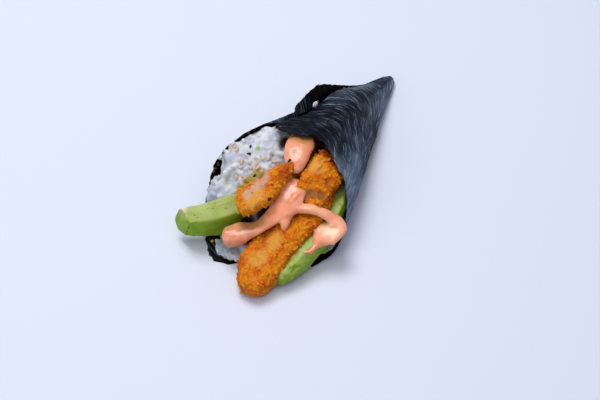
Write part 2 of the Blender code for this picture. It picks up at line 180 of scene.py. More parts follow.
def joined(solids):
    """Several solids, each its points and its kinds of faces, as one: a list of all their points, and a list
    of all their faces."""
    starts = np.cumsum([0] + [len(points) for points, _ in solids])
    faces = [
        face
        for start, (_, kinds) in zip(starts, solids)
        for kind in kinds
        for face in (kind + start).tolist()
    ]
    return np.vstack([points for points, _ in solids]).tolist(), faces


def new_piece(
    name, points, faces, looks, replaced=(), marks=None, sheet_map=None, look_of_face=None
):
    """Adds a finished piece: these points, in the roll's millimetres, and faces, turned outwards and smooth.

    The marks are numbers for each point that its materials read by name. The sheet map is each point's place
    on the flat sheet that the surface was rolled from.
    """
    mesh = bpy.data.meshes.new(name)
    points = points.reshape(-1, 3)
    points = np.concatenate([points[:, :2], np.maximum(points[:, 2:], 0.0)], axis=1)
    places = (points + ROLL_ORIGIN) * MM
    mesh.from_pydata(places.tolist(), [], [face for kind in faces for face in kind.tolist()])
    for look in looks:
        mesh.materials.append(look)
    if look_of_face is not None:
        mesh.polygons.foreach_set("material_index", look_of_face.astype(np.int32))
    for mark, values in (marks or {}).items():
        layer = mesh.attributes.new(mark, "FLOAT", "POINT")
        layer.data.foreach_set("value", np.ravel(values).astype(np.float32))
    work = bmesh.new()
    work.from_mesh(mesh)
    bmesh.ops.recalc_face_normals(work, faces=work.faces)
    if work.calc_volume(signed=True) < 0:
        bmesh.ops.reverse_faces(work, faces=work.faces)
    work.to_mesh(mesh)
    work.free()
    if sheet_map is not None:
        corner_point = np.zeros(len(mesh.loops), np.int32)
        mesh.loops.foreach_get("vertex_index", corner_point)
        layer = mesh.uv_layers.new(name="sheet")
        layer.data.foreach_set("uv", sheet_map.reshape(-1, 2)[corner_point].astype(np.float32).ravel())
    mesh.shade_smooth()
    piece = bpy.data.objects.new(name, mesh)
    bpy.context.scene.collection.objects.link(piece)
    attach(piece, BODY)
    if replaced:
        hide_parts(*replaced)


def rounded_outline(count, squareness):
    """A superellipse with half axes of 1: 2 is an ellipse, and larger is closer to a rectangle."""
    angle = np.linspace(0, 2 * math.pi, count, endpoint=False)
    cosine, sine = np.cos(angle), np.sin(angle)
    return np.stack(
        [np.sign(side) * np.abs(side) ** (2 / squareness) for side in (cosine, sine)], axis=-1
    )


def cut_outline(corners, count, easing):
    """A cut section: even steps along the polygon through these corners, then each point put at the mean of
    itself and its two neighbours, this many times over, which rounds the corners."""
    closed = np.array([*corners, corners[0]], float)
    along = np.concatenate([[0], np.cumsum(np.linalg.norm(np.diff(closed, axis=0), axis=1))])
    wanted = np.linspace(0, along[-1], count, endpoint=False)
    outline = np.stack([np.interp(wanted, along, closed[:, axis]) for axis in range(2)], axis=-1)
    for _ in range(easing):
        outline = (np.roll(outline, 1, axis=0) + outline + np.roll(outline, -1, axis=0)) / 3
    return outline


def pared(points, place, facing, along):
    """The points cut flat: each one beyond the plane through this place slides back onto it, this way."""
    facing, along = unit(np.array(facing, float)), unit(np.array(along, float))
    beyond = np.maximum((points - np.array(place)) @ facing, 0)
    return points - along * (beyond / (facing @ along))[..., None]


# Rings stand closer together in a solid's rounded ends: the share of their spacing that is bunched so. And an
# end ring is drawn in no further than this share of its size.
BUNCHED_SHARE = 0.2
LEAST_END = 0.04


def spine_rings(rows, outline, count, end_length, end_squareness):
    """A profile carried along a path: the outline at even steps along the smooth curve through the rows, as
    wide, as thick and as rolled as they say, and drawn in to each end along a superellipse."""
    fine = curve_at(rows, np.linspace(0, len(rows) - 1, 8 * count))
    along = np.concatenate([[0], np.cumsum(np.linalg.norm(np.diff(fine[:, :3], axis=0), axis=1))])
    even = np.linspace(0, 1, count)
    bunched = (1 - np.cos(math.pi * even)) / 2
    wanted = (even * (1 - BUNCHED_SHARE) + BUNCHED_SHARE * bunched) * along[-1]
    row = np.stack([np.interp(wanted, along, fine[:, column]) for column in range(6)], axis=-1)
    centre, half_width, half_height, roll = row[:, :3], row[:, 3], row[:, 4], np.radians(row[:, 5])
    ahead = unit(np.gradient(centre, axis=0))
    side = unit(np.cross(ahead, (0.0, 0.0, 1.0)))
    up = np.cross(side, ahead)
    side, up = (
        side * np.cos(roll)[:, None] - up * np.sin(roll)[:, None],
        up * np.cos(roll)[:, None] + side * np.sin(roll)[:, None],
    )
    short = 1 - np.clip(np.minimum(wanted, along[-1] - wanted) / end_length, 0, 1)
    shrink = np.maximum((1 - short**end_squareness) ** (1 / end_squareness), LEAST_END)
    across = side[:, None] * (outline[None, :, 0:1] * (half_width * shrink)[:, None, None])
    upward = up[:, None] * (outline[None, :, 1:2] * (half_height * shrink)[:, None, None])
    return centre[:, None] + across + upward


def melted(solids, voxel, easing):
    """One skin round overlapping closed solids, each given as its points and its faces: a voxel remesh at
    this size in millimetres, then this many rounds of smoothing. Gives the skin's points and its quads."""
    mesh = bpy.data.meshes.new("solids")
    points, faces = joined(solids)
    mesh.from_pydata(points, [], faces)
    solid = bpy.data.objects.new("solids", mesh)
    bpy.context.scene.collection.objects.link(solid)
    melt = solid.modifiers.new("Melt", "REMESH")
    melt.mode = "VOXEL"
    melt.voxel_size = voxel
    ease = solid.modifiers.new("Ease", "SMOOTH")
    ease.factor = 0.5
    ease.iterations = easing
    skin = solid.evaluated_get(bpy.context.evaluated_depsgraph_get()).to_mesh()
    points = np.zeros(3 * len(skin.vertices))
    skin.vertices.foreach_get("co", points)
    corners = np.zeros(len(skin.loops), np.int32)
    skin.loops.foreach_get("vertex_index", corners)
    bpy.data.objects.remove(solid, do_unlink=True)
    return points.reshape(-1, 3), corners.reshape(-1, 4)


def hollows(points, quads, rounds):
    """How far each point of a skin lies under the smoothed skin, in millimetres: below zero on its bumps.
    Each round of smoothing puts every point at the mean of its neighbours."""
    ends = np.vstack([quads[:, [step, (step + 1) % 4]] for step in range(4)])
    met = np.concatenate([ends[:, 0], ends[:, 1]])
    other = np.concatenate([ends[:, 1], ends[:, 0]])
    neighbours = np.bincount(met, minlength=len(points))[:, None]
    eased = points
    for _ in range(rounds):
        eased = at_corners(met, eased[other], len(points)) / neighbours
    return np.sum((eased - points) * skin_normals(points, quads), axis=-1)


def kernel(around, along, blunt, taper):
    """A grain or seed, 1 long each way from its middle: rings along x whose radius is the blunt power of an
    ellipse's, larger towards one end by the taper."""
    lengthwise = -np.cos(np.linspace(0, math.pi, along + 2)[1:-1])
    radius = (1 - lengthwise**2) ** blunt * (1 - taper * lengthwise)
    angle = np.linspace(0, 2 * math.pi, around, endpoint=False)
    rings = np.stack(
        [
            np.broadcast_to(lengthwise[:, None], (along, around)),
            radius[:, None] * np.cos(angle),
            -radius[:, None] * np.sin(angle),
        ],
        axis=-1,
    )
    points, faces = closed_tube(rings)
    points[-2], points[-1] = (-1.0, 0.0, 0.0), (1.0, 0.0, 0.0)
    return points, faces


def copies(shape, middles, axes, sizes):
    """The shape set down many times: its points times each copy's sizes, along that copy's three axes."""
    points, faces = shape
    placed = middles[:, None] + np.einsum("pk,ck,cki->cpi", points, sizes, axes)
    first = np.arange(len(middles))[:, None, None] * len(points)
    return placed, [(kind[None] + first).reshape(-1, kind.shape[1]) for kind in faces]


def turned_axes(normals, turns, tilts):
    """Three axes for each copy: its length lies along the surface at this turn, lifted by this tilt."""
    level = unit(np.cross(normals, np.where(np.abs(normals[:, 2:]) < 0.9, (0.0, 0.0, 1.0), (0.0, 1.0, 0.0))))
    other = np.cross(normals, level)
    flat = level * np.cos(turns)[:, None] + other * np.sin(turns)[:, None]
    ahead = flat * np.cos(tilts)[:, None] + normals * np.sin(tilts)[:, None]
    side = np.cross(normals, flat)
    return np.stack([ahead, side, np.cross(ahead, side)], axis=1)


def tossed_axes(normals, tilt, rng):
    """Three axes for each copy, at a random turn, and lifted or dipped at random by about this tilt."""
    turns = rng.uniform(0, 2 * math.pi, len(normals))
    return turned_axes(normals, turns, rng.normal(0.0, tilt, len(normals)))


# ---------- Surfaces to set things on ----------


# How many places are tried when grains or flakes are spread over a surface.
SPREAD_TRIES = 9000


def node_surface(name):
    """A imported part's points, in the roll's millimetres, with doubled ones merged, and its triangles as its
    only kind of faces."""
    work = bmesh.new()
    work.from_mesh(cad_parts[name].data)
    bmesh.ops.remove_doubles(work, verts=work.verts, dist=1e-6)
    bmesh.ops.triangulate(work, faces=work.faces)
    points = np.array([point.co for point in work.verts]) / MM - ROLL_ORIGIN
    triangles = np.array([[point.index for point in face.verts] for face in work.faces])
    work.free()
    return points, [triangles]


def search_tree(*surfaces):
    """A tree that finds what lies nearest to a point, or under it, on any of these surfaces."""
    return BVHTree.FromPolygons(*joined(surfaces))


def spread(points, triangles, spacing, rng):
    """Places spread over a surface, at least the spacing apart, and the directions square to it there."""
    a, b, c = (points[triangles[:, corner]] for corner in range(3))
    square = np.cross(b - a, c - a)
    area = np.linalg.norm(square, axis=1)
    chosen = rng.choice(len(area), SPREAD_TRIES, p=area / area.sum())
    u, v = rng.random((2, SPREAD_TRIES))
    u, v = np.where(u + v > 1, 1 - u, u), np.where(u + v > 1, 1 - v, v)
    places = a[chosen] + (b - a)[chosen] * u[:, None] + (c - a)[chosen] * v[:, None]
    kept = np.zeros(0, int)
    for number in range(SPREAD_TRIES):
        if not len(kept) or np.linalg.norm(places[kept] - places[number], axis=1).min() > spacing:
            kept = np.append(kept, number)
    return places[kept], unit(square[chosen[kept]])


# ---------- Materials ----------


class Amount:
    """A number that varies over a surface. Arithmetic on it adds Math nodes to its material."""

    def __init__(self, look, socket):
        self.look, self.socket = look, socket

    def math(self, operation, *values):
        """A Math node's answer for these values, in their order."""
        return self.look.node("Math", {"operation": operation}, dict(enumerate(values)))

    def __add__(self, other):
        return self.math("ADD", self, other)

    def __mul__(self, other):
        return self.math("MULTIPLY", self, other)

    def __sub__(self, other):
        return self.math("SUBTRACT", self, other)

    def __rsub__(self, other):
        return self.math("SUBTRACT", other, self)

    def __pow__(self, other):
        return self.math("POWER", self, other)

    __radd__ = __add__
    __rmul__ = __mul__


class Look:
    """One material: a Principled shader, and the nodes that feed it."""

    def __init__(self, name, **settings):
        self.material = bpy.data.materials.new(name)
        self.material.use_nodes = True
        self.tree = self.material.node_tree
        self.shader = self.tree.nodes["Principled BSDF"]
        self.feed(self.shader, settings)

    def feed(self, node, values):
        """Sets or links sockets by name, with _ for a space, or by number among those that are in use."""
        for name, value in values.items():
            used = [socket for socket in node.inputs if socket.enabled]
            if isinstance(name, int):
                wanted = used[name]
            else:
                wanted = next(socket for socket in used if socket.name == name.replace("_", " "))
            if isinstance(value, Amount):
                self.tree.links.new(value.socket, wanted)
            elif wanted.type == "RGBA":
                wanted.default_value = (*value, 1.0)
            else:
                wanted.default_value = value

    def node(self, kind, settings=None, values=None, output=0):
        """Adds a node: its settings, a ramp's stops among them, then its sockets' values or links."""
        made = self.tree.nodes.new("ShaderNode" + kind)
        for name, value in (settings or {}).items():
            if name == "stops":
                stops = made.color_ramp.elements
                while len(stops) < len(value):
                    stops.new(1.0)
                for stop, (position, colour) in zip(stops, value):
                    stop.position, stop.color = position, (*colour, 1.0)
            else:
                setattr(made, name, value)
        self.feed(made, values or {})
        used = [socket for socket in made.outputs if socket.enabled]
        wanted = used[output] if isinstance(output, int) else made.outputs[output]
        return Amount(self, wanted)

    def places(self):
        """Where each point is on the piece, in metres."""
        return self.node("TexCoord", output="Object")

    def mark(self, name):
        """A number that the piece keeps for each of its points."""
        return self.node("Attribute", {"attribute_name": name}, output="Fac")

    def noise(self, spacing, detail=2.0, roughness=0.5):
        """Cloudy numbers about 0.5, with patches of this spacing in millimetres."""
        values = {"Vector": self.places(), "Scale": 1 / (spacing * MM)}
        return self.node("TexNoise", {}, {**values, "Detail": detail, "Roughness": roughness}, "Fac")

    def rise(self, value, low, high):
        """0 where the value is below low, 1 where it is above high, and smooth between them."""
        settings = {"interpolation_type": "SMOOTHSTEP"}
        return self.node("MapRange", settings, {"Value": value, "From_Min": low, "From_Max": high})

    def mix(self, share, first, second):
        """The first colour where the share is 0, and the second where it is 1."""
        return self.node("Mix", {"data_type": "RGBA"}, {"Factor": share, "A": first, "B": second})

    def bump(self, height, depth, strength=1.0):
        """A fine relief of this depth in millimetres, which feeds the shader's Normal."""
        values = {"Height": height, "Distance": depth * MM, "Strength": strength}
        self.feed(self.shader, {"Normal": self.node("Bump", {}, values)})

    def surface(self, colour, roughness):
        """Gives the shader its colour and how matt it is."""
        self.feed(self.shader, {"Base Color": colour, "Roughness": roughness})


def nori_hairs(look, turn, length, width, low, high):
    """Pale hairs drawn over the flat sheet, this long and wide in millimetres, at this turn in degrees:
    stretched noise, kept where it is above low and full where it is above high."""
    sheet = look.node("UVMap", {"uv_map": "sheet"})
    waver = look.node("TexNoise", {}, {"Vector": sheet, "Scale": 2.6, "Detail": 1.0}, "Color")
    drawn = look.node("VectorMath", {"operation": "MULTIPLY_ADD"}, {0: waver, 1: (0.06, 0.06, 0.0), 2: sheet})
    values = {"Vector": drawn, "Rotation": (0, 0, math.radians(turn)), "Scale": (length, width, 1.0)}
    laid = look.node("Mapping", {"vector_type": "TEXTURE"}, values)
    values = {"Vector": laid, "Scale": 100.0, "Detail": 2.5, "Roughness": 0.55}
    return look.rise(look.node("TexNoise", {}, values, "Fac"), low, high)


def laid_hairs(look, turn, length, width, low, high):
    """Hairs turned this far from every lay of the sheet, each lay shown where the piece's mark says."""
    return sum(
        nori_hairs(look, lay + turn, length, width, low, high) * look.mark(f"lay_{number}")
        for number, (_, lay) in enumerate(NORI_LAYS)
    )


def nori_outside():
    """Blue-black seaweed with pale grey-blue hairs: sparse where dark, close together where sheen is painted,
    and under a pale painted sheen where that is strongest.
    """
    look = Look("nori_outside", IOR=1.4, Specular_IOR_Level=0.03)
    fine = laid_hairs(look, 3.0, 10.0, 0.7, 0.52, 0.66)
    crossed = laid_hairs(look, -18.0, 7.0, 0.75, 0.53, 0.67)
    strands = laid_hairs(look, 0.0, 15.0, 2.7, 0.44, 0.60)
    # This mark paints sheen: it sets how much the pale hairs show.
    brushed = look.mark("brushed")
    share = (fine * 0.65 + crossed * 0.45 + 0.04) * (strands * 0.90 + 0.04) * (brushed * 1.3 + 0.05)
    # A pale painted sheen over the hairs, where the painted sheen is strongest.
    share = share + (brushed ** 4.0) * 0.33
    colour = look.mix(share, (0.0016, 0.0026, 0.0052), (0.340, 0.430, 0.610))
    look.surface(colour, 0.55 + share * 0.15)
    look.bump(fine + crossed * 0.8 + strands * 0.6, 0.2, 0.8)
    return look.material


def nori_inside():
    """The sheet's dull inner side: nearly black with a brown-green cast, and pale hairs as painted sheen where
    it catches the light.
    """
    look = Look("nori_inside", IOR=1.38, Specular_IOR_Level=0.08)
    patches = look.noise(3.0, detail=4.0)
    colour = look.mix(look.rise(patches, 0.52, 0.78), (0.0020, 0.0020, 0.0016), (0.020, 0.017, 0.005))
    brushed = look.mark("brushed") * nori_hairs(look, 110.0, 12.0, 1.3, 0.46, 0.60)
    colour = look.mix(brushed, colour, (0.085, 0.110, 0.150))
    look.surface(colour, 0.66)
    look.bump(look.noise(1.1, detail=3.0), 0.12)
    return look.material


def rice_look():
    """Cooked rice: bluish white, sticky and a little see-through, and greyer with painted shade in the hollows
    between grains. It is stained by the frying, bluish grey with painted shade in patches, and nearly black
    with painted shade deep between the fillings."""
    look = Look(
        "rice", Subsurface_Weight=1.0, Subsurface_Radius=(1.0, 1.05, 1.2), Subsurface_Scale=4.5 * MM, IOR=1.34
    )
    cloud = look.noise(2.4, detail=2.0)
    broad = look.noise(9.0, detail=1.0)
    clear = look.mix(look.rise(broad, 0.42, 0.62), (0.58, 0.595, 0.65), (0.42, 0.45, 0.53))
    colour = look.mix(look.rise(cloud, 0.35, 0.65) * 0.4, clear, (0.66, 0.67, 0.71))
    # Painted shade in the hollows between grains.
    hollow = look.mix(look.mark("hollow") * 0.3, colour, (0.47, 0.50, 0.58))
    stained = look.mix(look.mark("stain"), hollow, (0.36, 0.235, 0.008))
    # Painted shade, bluish grey, at the lower left and by the lip.
    sodden = look.mix(look.mark("sodden"), stained, (0.30, 0.36, 0.46))
    # Painted shade, nearly black, deep in the gaps between the fillings.
    shaded = look.mix(look.mark("deep"), sodden, (0.012, 0.007, 0.004))
    look.surface(shaded, 0.38 + cloud * 0.15 + look.mark("deep") * 0.4)
    look.bump(look.noise(0.8, detail=2.0), 0.03)
    return look.material


def breading_look():
    """Fried breading: golden orange crumbs with painted highlights on their raised tips and dark brown painted
    shade in their hollows. It is tan where the coat is thin, shows the pinkish flesh in ragged patches where
    it is off, and is brown where it is cut."""
    look = Look(
        "breading", Subsurface_Weight=0.1, Subsurface_Radius=(1.0, 0.4, 0.1), Subsurface_Scale=1.2 * MM,
        Specular_IOR_Level=0.12, Coat_Weight=0.05, Coat_Roughness=0.22, IOR=1.4,
    )
    fine = look.noise(0.8, detail=3.0, roughness=0.6)
    broad = look.noise(5.5, detail=2.0)
    golden = look.mix(look.rise(broad, 0.36, 0.62), (0.52, 0.086, 0.0004), (0.60, 0.185, 0.002))
    speckled = look.mix(look.rise(fine, 0.54, 0.72) * 0.8, golden, (0.70, 0.27, 0.012))
    # Painted highlight on the raised crumb tips.
    tip_lit = look.mix(look.mark("raised") * 0.65, speckled, (0.82, 0.37, 0.022))
    # Painted shade, dark brown, in the hollows and the patches, with some real toasting.
    toasted_and_shaded = look.mix(look.mark("toast"), tip_lit, (0.28, 0.036, 0.001))
    thin_share = look.mark("thin") * (0.55 + 0.45 * look.rise(fine, 0.4, 0.6))
    thin = look.mix(thin_share, toasted_and_shaded, (0.64, 0.31, 0.045))
    ragged = look.mark("flesh") + (look.noise(1.5, detail=4.0, roughness=0.7) - 0.5) * 3.0
    patchy = look.rise(ragged, 0.0, 1.2)
    flesh = look.mix(patchy * look.rise(look.mark("flesh"), 0.02, 0.4) * 0.85, thin, (0.50, 0.33, 0.27))
    cut = look.mix(look.mark("cut"), flesh, (0.22, 0.105, 0.035))
    look.surface(cut, 0.55 - look.mark("thin") * 0.15)
    look.bump(fine + look.noise(0.4, detail=2.0) * 0.5, 0.2)
    return look.material


def avocado_look():
    """Avocado flesh: creamy yellow by the stone, deeper green towards the skin and, as painted shade, on faces
    that look down, and a few brown specks.
    """
    look = Look(
        "avocado", Subsurface_Weight=0.25, Subsurface_Radius=(1.0, 0.9, 0.3), Subsurface_Scale=2.0 * MM,
        Specular_IOR_Level=0.3, IOR=1.4,
    )
    rind = look.mark("rind")
    cloud = look.noise(3.0, detail=3.0)
    shade = {"Fac": rind + (cloud - 0.5) * 0.2}
    colour = look.node("ValToRGB", {"stops": AVOCADO_GREENS}, shade, "Color")
    specks = look.rise(look.noise(1.5, detail=0.0), 0.73, 0.78)
    colour = look.mix(specks * 0.55, colour, (0.12, 0.10, 0.012))
    look.surface(colour, 0.32 + cloud * 0.2)
    look.bump(look.noise(1.3, detail=3.0), 0.16)
    return look.material


def sauce_look():
    """Thick spicy mayonnaise: salmon pink and glossy, paler with painted light on the curl and the right blob,
    browner where it is only smeared and with painted shade where it lies in shade, and yellowish where it is
    watery."""
    look = Look(
        "sauce", Subsurface_Weight=0.65, Subsurface_Radius=(1.0, 0.6, 0.5), Subsurface_Scale=3.0 * MM,
        Coat_Weight=0.4, Coat_Roughness=0.14, Specular_IOR_Level=0.3, IOR=1.44,
    )
    cloud = look.noise(5.0, detail=1.0)
    colour = look.mix(look.rise(cloud, 0.35, 0.65), (0.74, 0.265, 0.148), (0.81, 0.345, 0.205))
    pale = look.mix(look.mark("pale"), colour, (0.92, 0.50, 0.31))
    smeared = look.mix(look.mark("smeared"), pale, (0.46, 0.205, 0.065))
    watery = look.mix(look.mark("watery"), smeared, (0.56, 0.47, 0.24))
    look.surface(watery, 0.28 + cloud * 0.08)
    look.bump(look.noise(3.2, detail=2.0), 0.28)
    return look.material


def speck_look(name, dark, light, roughness):
    """A seed's husk, or a scrap of leaf, in two close tones."""
    look = Look(name, IOR=1.45, Specular_IOR_Level=0.3)
    cloud = look.noise(0.9, detail=2.0)
    look.surface(look.mix(cloud, dark, light), roughness + cloud * 0.1)
    look.bump(look.noise(0.35, detail=2.0), 0.04)
    return look.material


def floor_look():
    """A plain pale matt floor."""
    look = Look("pale_floor", Roughness=0.6, IOR=1.3)
    cloud = look.noise(300.0, detail=1.0)
    look.feed(look.shader, {"Base Color": look.mix(cloud, (0.625, 0.665, 0.785), (0.635, 0.675, 0.795))})
    return look.material


# ---------- Nori ----------

APEX_Y = 97.0
SECTION_Y = -60.0
NORI_THICKNESS = 0.4
PRESSED_FLAT = 0.3
TIP_REACH = 0.085
# The lays of the sheet's hairs: the ruling that each is centred on, and its turn in degrees on the flat
# sheet. They run along the cone on its right side and across it on its crest.
NORI_LAYS = ((13.6, 63.0), (15.9, 38.0), (18.1, 10.0), (20.6, -24.0))
# Rulings in winding order: x and z at the section plane, then how far the sheet reaches along the ruling,
# as a share of the way from the apex to the section plane.
NORI_RULINGS = (
    (-76.0, 78.0, 0.360),
    (-63.0, 61.0, 0.490),
    (-58.0, 47.0, 0.565),
    (-60.0, 51.5, 0.660),
    (-62.5, 45.0, 0.765),
    (-63.5, 32.5, 0.845),
    (-60.0, 16.0, 0.912),
    (-50.0, 4.0, 1.000),
    (-38.0, 0.5, 1.090),
    (-27.0, 0.0, 1.140),
    (-8.0, 0.0, 1.055),
    (13.0, 0.0, 1.015),
    (24.5, 3.0, 0.962),
    (30.0, 13.0, 0.886),
    (29.5, 28.0, 0.838),
    (24.0, 43.0, 0.777),
    (14.5, 54.5, 0.744),
    (2.5, 63.0, 0.712),
    (-8.5, 66.0, 0.694),
    (-20.0, 64.5, 0.715),
    (-34.0, 62.0, 0.705),
    (-46.0, 58.5, 0.672),
    (-51.0, 53.0, 0.645),
    (-53.5, 45.5, 0.570),
    (-57.0, 38.0, 0.500),
)
# Near the tip the loose corner hugs the cone: there its first rulings run towards these points instead.
FLAP_ROOTS = ((-55.0, 54.0), (-58.0, 52.0))
FLAP_HUGS_UNTIL = 0.15
FLAP_FREE_FROM = 0.37
# Along the wrap's crest, round this ruling, swells and dips: the share, the reach it is at, and its spread.
CREST_RULING = 20.5
CREST_SWELLS = ((0.17, 0.32, 0.10), (-0.04, 0.51, 0.07))
# The right side is drawn in by this share at the tip, and by nothing at this reach.
WAIST_DRAW = 0.20
WAIST_ENDS = 0.62
# How ragged the mouth's edge is and how dented the sheet is, each a height, a spacing and a seed.
NORI_TATTER = ((1.1, 6.0, 1), (1.1, 2.4, 2), (0.6, 1.1, 4))
NORI_DENTS = ((0.5, 17.0, 5), (0.22, 5.5, 6), (0.07, 2.0, 7))
# How far the loose corner's own edge wanders, in rulings, and how often.
SIDE_TATTER = 0.07
SIDE_TATTER_WAVES = 60
NORI_COLUMNS = 264
NORI_ROWS = 136
TIP_MIDDLE = (-1.7, 82.5, 2.85)
TIP_HALVES = (3.1, 4.5, 2.6)
# A kernel's points round it and along it, how blunt it is, and how much it tapers.
TIP_SHAPE = (48, 24, 0.5, 0.0)
# Where the sheet's inner side catches the light, each a middle and its size.
INNER_SHEENS = (
    ((-31.0, 16.0, 25.0), (14.0, 16.0, 14.0)),
    ((-38.0, -73.0, -2.5), (14.0, 12.0, 5.0)),
)


def hump(value, middle, spread_by):
    """A bell curve: 1 at the middle, and e to the minus 1 at this much to either side."""
    return np.exp(-(((value - middle) / spread_by) ** 2))


def on_ruling(x, z, reach):
    """The point at this share of the way from the apex to (x, z) on the section plane."""
    return np.stack(np.broadcast_arrays(x * reach, APEX_Y + (SECTION_Y - APEX_Y) * reach, z * reach), axis=-1)


def nori_middle():
    """The sheet's middle surface: straight rulings from the tip to the mouth's edge, one for each column,
    where the edge wanders in and out, and the whole is gently dented but flat on the ground."""
    rooted = FLAP_ROOTS + tuple(ruling[:2] for ruling in NORI_RULINGS[len(FLAP_ROOTS):])
    down = np.linspace(0, 1, NORI_ROWS)[:, None]
    last = len(NORI_RULINGS) - 1
    side_tatter = SIDE_TATTER * lumps(down * (0, SIDE_TATTER_WAVES, 0), 1.4, 3)[:, None]
    place = side_tatter + (last - side_tatter) * np.linspace(0, 1, NORI_COLUMNS)[None, :]
    free, root = curve_at(NORI_RULINGS, place), curve_at(rooted, place)
    edge = on_ruling(free[..., 0], free[..., 1], free[..., 2])
    tatter = lump_layers(edge, NORI_TATTER) / (APEX_Y - SECTION_Y)
    reach = TIP_REACH + (free[..., 2] + tatter - TIP_REACH) * down
    loose = smooth_step(FLAP_HUGS_UNTIL, FLAP_FREE_FROM, reach)
    x = root[..., 0] * (1 - loose) + free[..., 0] * loose
    z = root[..., 1] * (1 - loose) + free[..., 1] * loose
    along_crest = sum(share * hump(reach, middle, spread_by) for share, middle, spread_by in CREST_SWELLS)
    swell = 1 + along_crest * hump(place, CREST_RULING, 2.6)
    waist = np.where(x > 0, 1 - WAIST_DRAW * smooth_step(WAIST_ENDS, TIP_REACH, reach), 1.0)
    points = on_ruling(x * swell * waist, np.maximum(z, 0.0) * swell, reach)
    depth = smooth_step(0.0, 3.0, points[..., 2]) * smooth_step(0.05, 0.35, reach)
    points -= grid_normals(points, False) * (depth * lump_layers(points, NORI_DENTS))[..., None]
    points[..., 2] = np.maximum(points[..., 2], 0.0) + NORI_THICKNESS / 2
    return points


def flat_sheet_map(points):
    """Each point's place on the sheet laid flat: its distance from the apex, at the angle that the rulings
    before it add up to. In decimetres."""
    from_apex = points - (0.0, APEX_Y, 0.0)
    ahead = unit(from_apex[NORI_ROWS // 2])
    between = np.arccos(np.clip(np.sum(ahead[1:] * ahead[:-1], axis=-1), -1, 1))
    angle = np.concatenate([[0], np.cumsum(between)])[None, :]
    distance = np.linalg.norm(from_apex, axis=-1) / 100
    return np.stack([distance * np.cos(angle), distance * np.sin(angle)], axis=-1)


def nori_sheen_and_hairs(points):
    """How strongly the sheet's pale hairs show, from 0 to 1, which paints sheen on it: painted sheen in
    patches all over, a painted reflection down the cone's right side, strongest towards its mouth, and painted
    sheen all round by the tip."""
    patches = smooth_step(-0.6, 0.8, lumps(points, 13.0, 8) + 0.6 * lumps(points, 5.0, 9))
    side = smooth_step(0.25, 0.95, -grid_normals(points, False)[..., 0])
    mouthward = smooth_step(30.0, -45.0, points[..., 1])
    tipward = smooth_step(22.0, 54.0, points[..., 1])
    return (0.05 + 0.38 * patches + side * (0.36 + 1.0 * mouthward) + 0.52 * tipward).clip(0, 1)


def nori_lays(points):
    """How much of each lay of hairs shows at each point: all of the nearest one, counted in rulings, with
    soft borders that wander."""
    ruling = np.linspace(0, len(NORI_RULINGS) - 1, NORI_COLUMNS)[None, :]
    wandering = ruling + 1.0 * lumps(points, 12.0, 31) + 0.5 * lumps(points, 4.0, 32)
    wandering = np.clip(wandering, NORI_LAYS[0][0], NORI_LAYS[-1][0])
    nearness = np.stack([hump(wandering, centre, 0.8) for centre, _ in NORI_LAYS])
    return nearness / nearness.sum(axis=0)


def make_nori():
    """The wrap: a thin shell on both sides of the middle surface, its rim closed."""
    middle = nori_middle()
    inward = grid_normals(middle, False)
    inside = middle + inward * NORI_THICKNESS / 2
    outside = middle - inward * NORI_THICKNESS / 2
    outside[..., 2] = np.where(outside[..., 2] < PRESSED_FLAT, 0.0, outside[..., 2])
    count = NORI_ROWS * NORI_COLUMNS
    one_side = sheet_faces(NORI_ROWS, NORI_COLUMNS)
    corner = np.arange(count).reshape(NORI_ROWS, NORI_COLUMNS)
    rim = np.concatenate([corner[0], corner[1:, -1], corner[-1, -2::-1], corner[-2:0:-1, 0]])
    after = np.roll(rim, -1)
    wall = np.stack([rim, after, after + count, rim + count], axis=-1)
    faces = [one_side, one_side[:, ::-1] + count, wall]
    looks = np.concatenate([np.zeros(len(one_side)), np.ones(len(one_side) + len(wall))])
    flat = flat_sheet_map(middle)
    marks = {f"lay_{number}": np.stack([lay, lay]) for number, lay in enumerate(nori_lays(middle))}
    # Painted sheen on both sides: over the outside, and on the inner side where it catches the light.
    marks["brushed"] = np.stack([nori_sheen_and_hairs(middle), dabs(middle, INNER_SHEENS)])
    new_piece(
        "nori", np.stack([outside, inside]), faces, [NORI_OUTSIDE, NORI_INSIDE], ["nori_sheet"],
        marks=marks, sheet_map=np.stack([flat, flat]), look_of_face=looks,
    )
    return inside.reshape(-1, 3), [one_side]


def make_nori_tip():
    """The twisted end of the sheet: an ellipsoid with three soft folds that wind round it."""
    shape, faces = kernel(*TIP_SHAPE)
    angle = np.arctan2(shape[:, 2], shape[:, 1])
    fold = 1 + 0.05 * np.sin(3 * angle + 2.5 * shape[:, 0])
    shape = np.stack([shape[:, 1] * fold, shape[:, 0], shape[:, 2] * fold], axis=-1)
    points = shape * TIP_HALVES + TIP_MIDDLE
    flat = np.stack([points[:, 1] / 100, angle * 0.035], axis=-1)
    # An even painted sheen over the tip's hairs.
    marks = {"brushed": np.full(len(points), 0.4), "lay_1": np.ones(len(points))}
    new_piece("nori_tip", points, faces, [NORI_OUTSIDE], marks=marks, sheet_map=flat)


# ---------- Rice ----------

FILLINGS = (
    "strip_front", "strip_right", "strip_left", "strip_back",
    "avocado_left", "avocado_right", "sauce_back", "sauce_drizzle",
)
GRAIN_SPACING = 2.5
GRAIN_SHAPE = (8, 5, 0.42, 0.06)
GRAIN_SIZE = (3.3, 1.65, 1.5)
GRAIN_SIZES_VARY = (0.86, 1.14)
GRAIN_TILT = 0.38
# Some grains stand out of the bed and the others are sunk in it: how many stand, and how deep each kind is.
STANDING_SHARE = 0.15
STANDING_DEPTHS = (-0.1, 0.6)
SUNKEN_DEPTHS = (0.8, 2.0)
# How far the core lies under the grains' surface, and how much further in the hollows.
CORE_SINKS = 0.3
HOLLOWS_SINK = 3.5
RICE_VOXEL = 0.49
RICE_EASING = 3
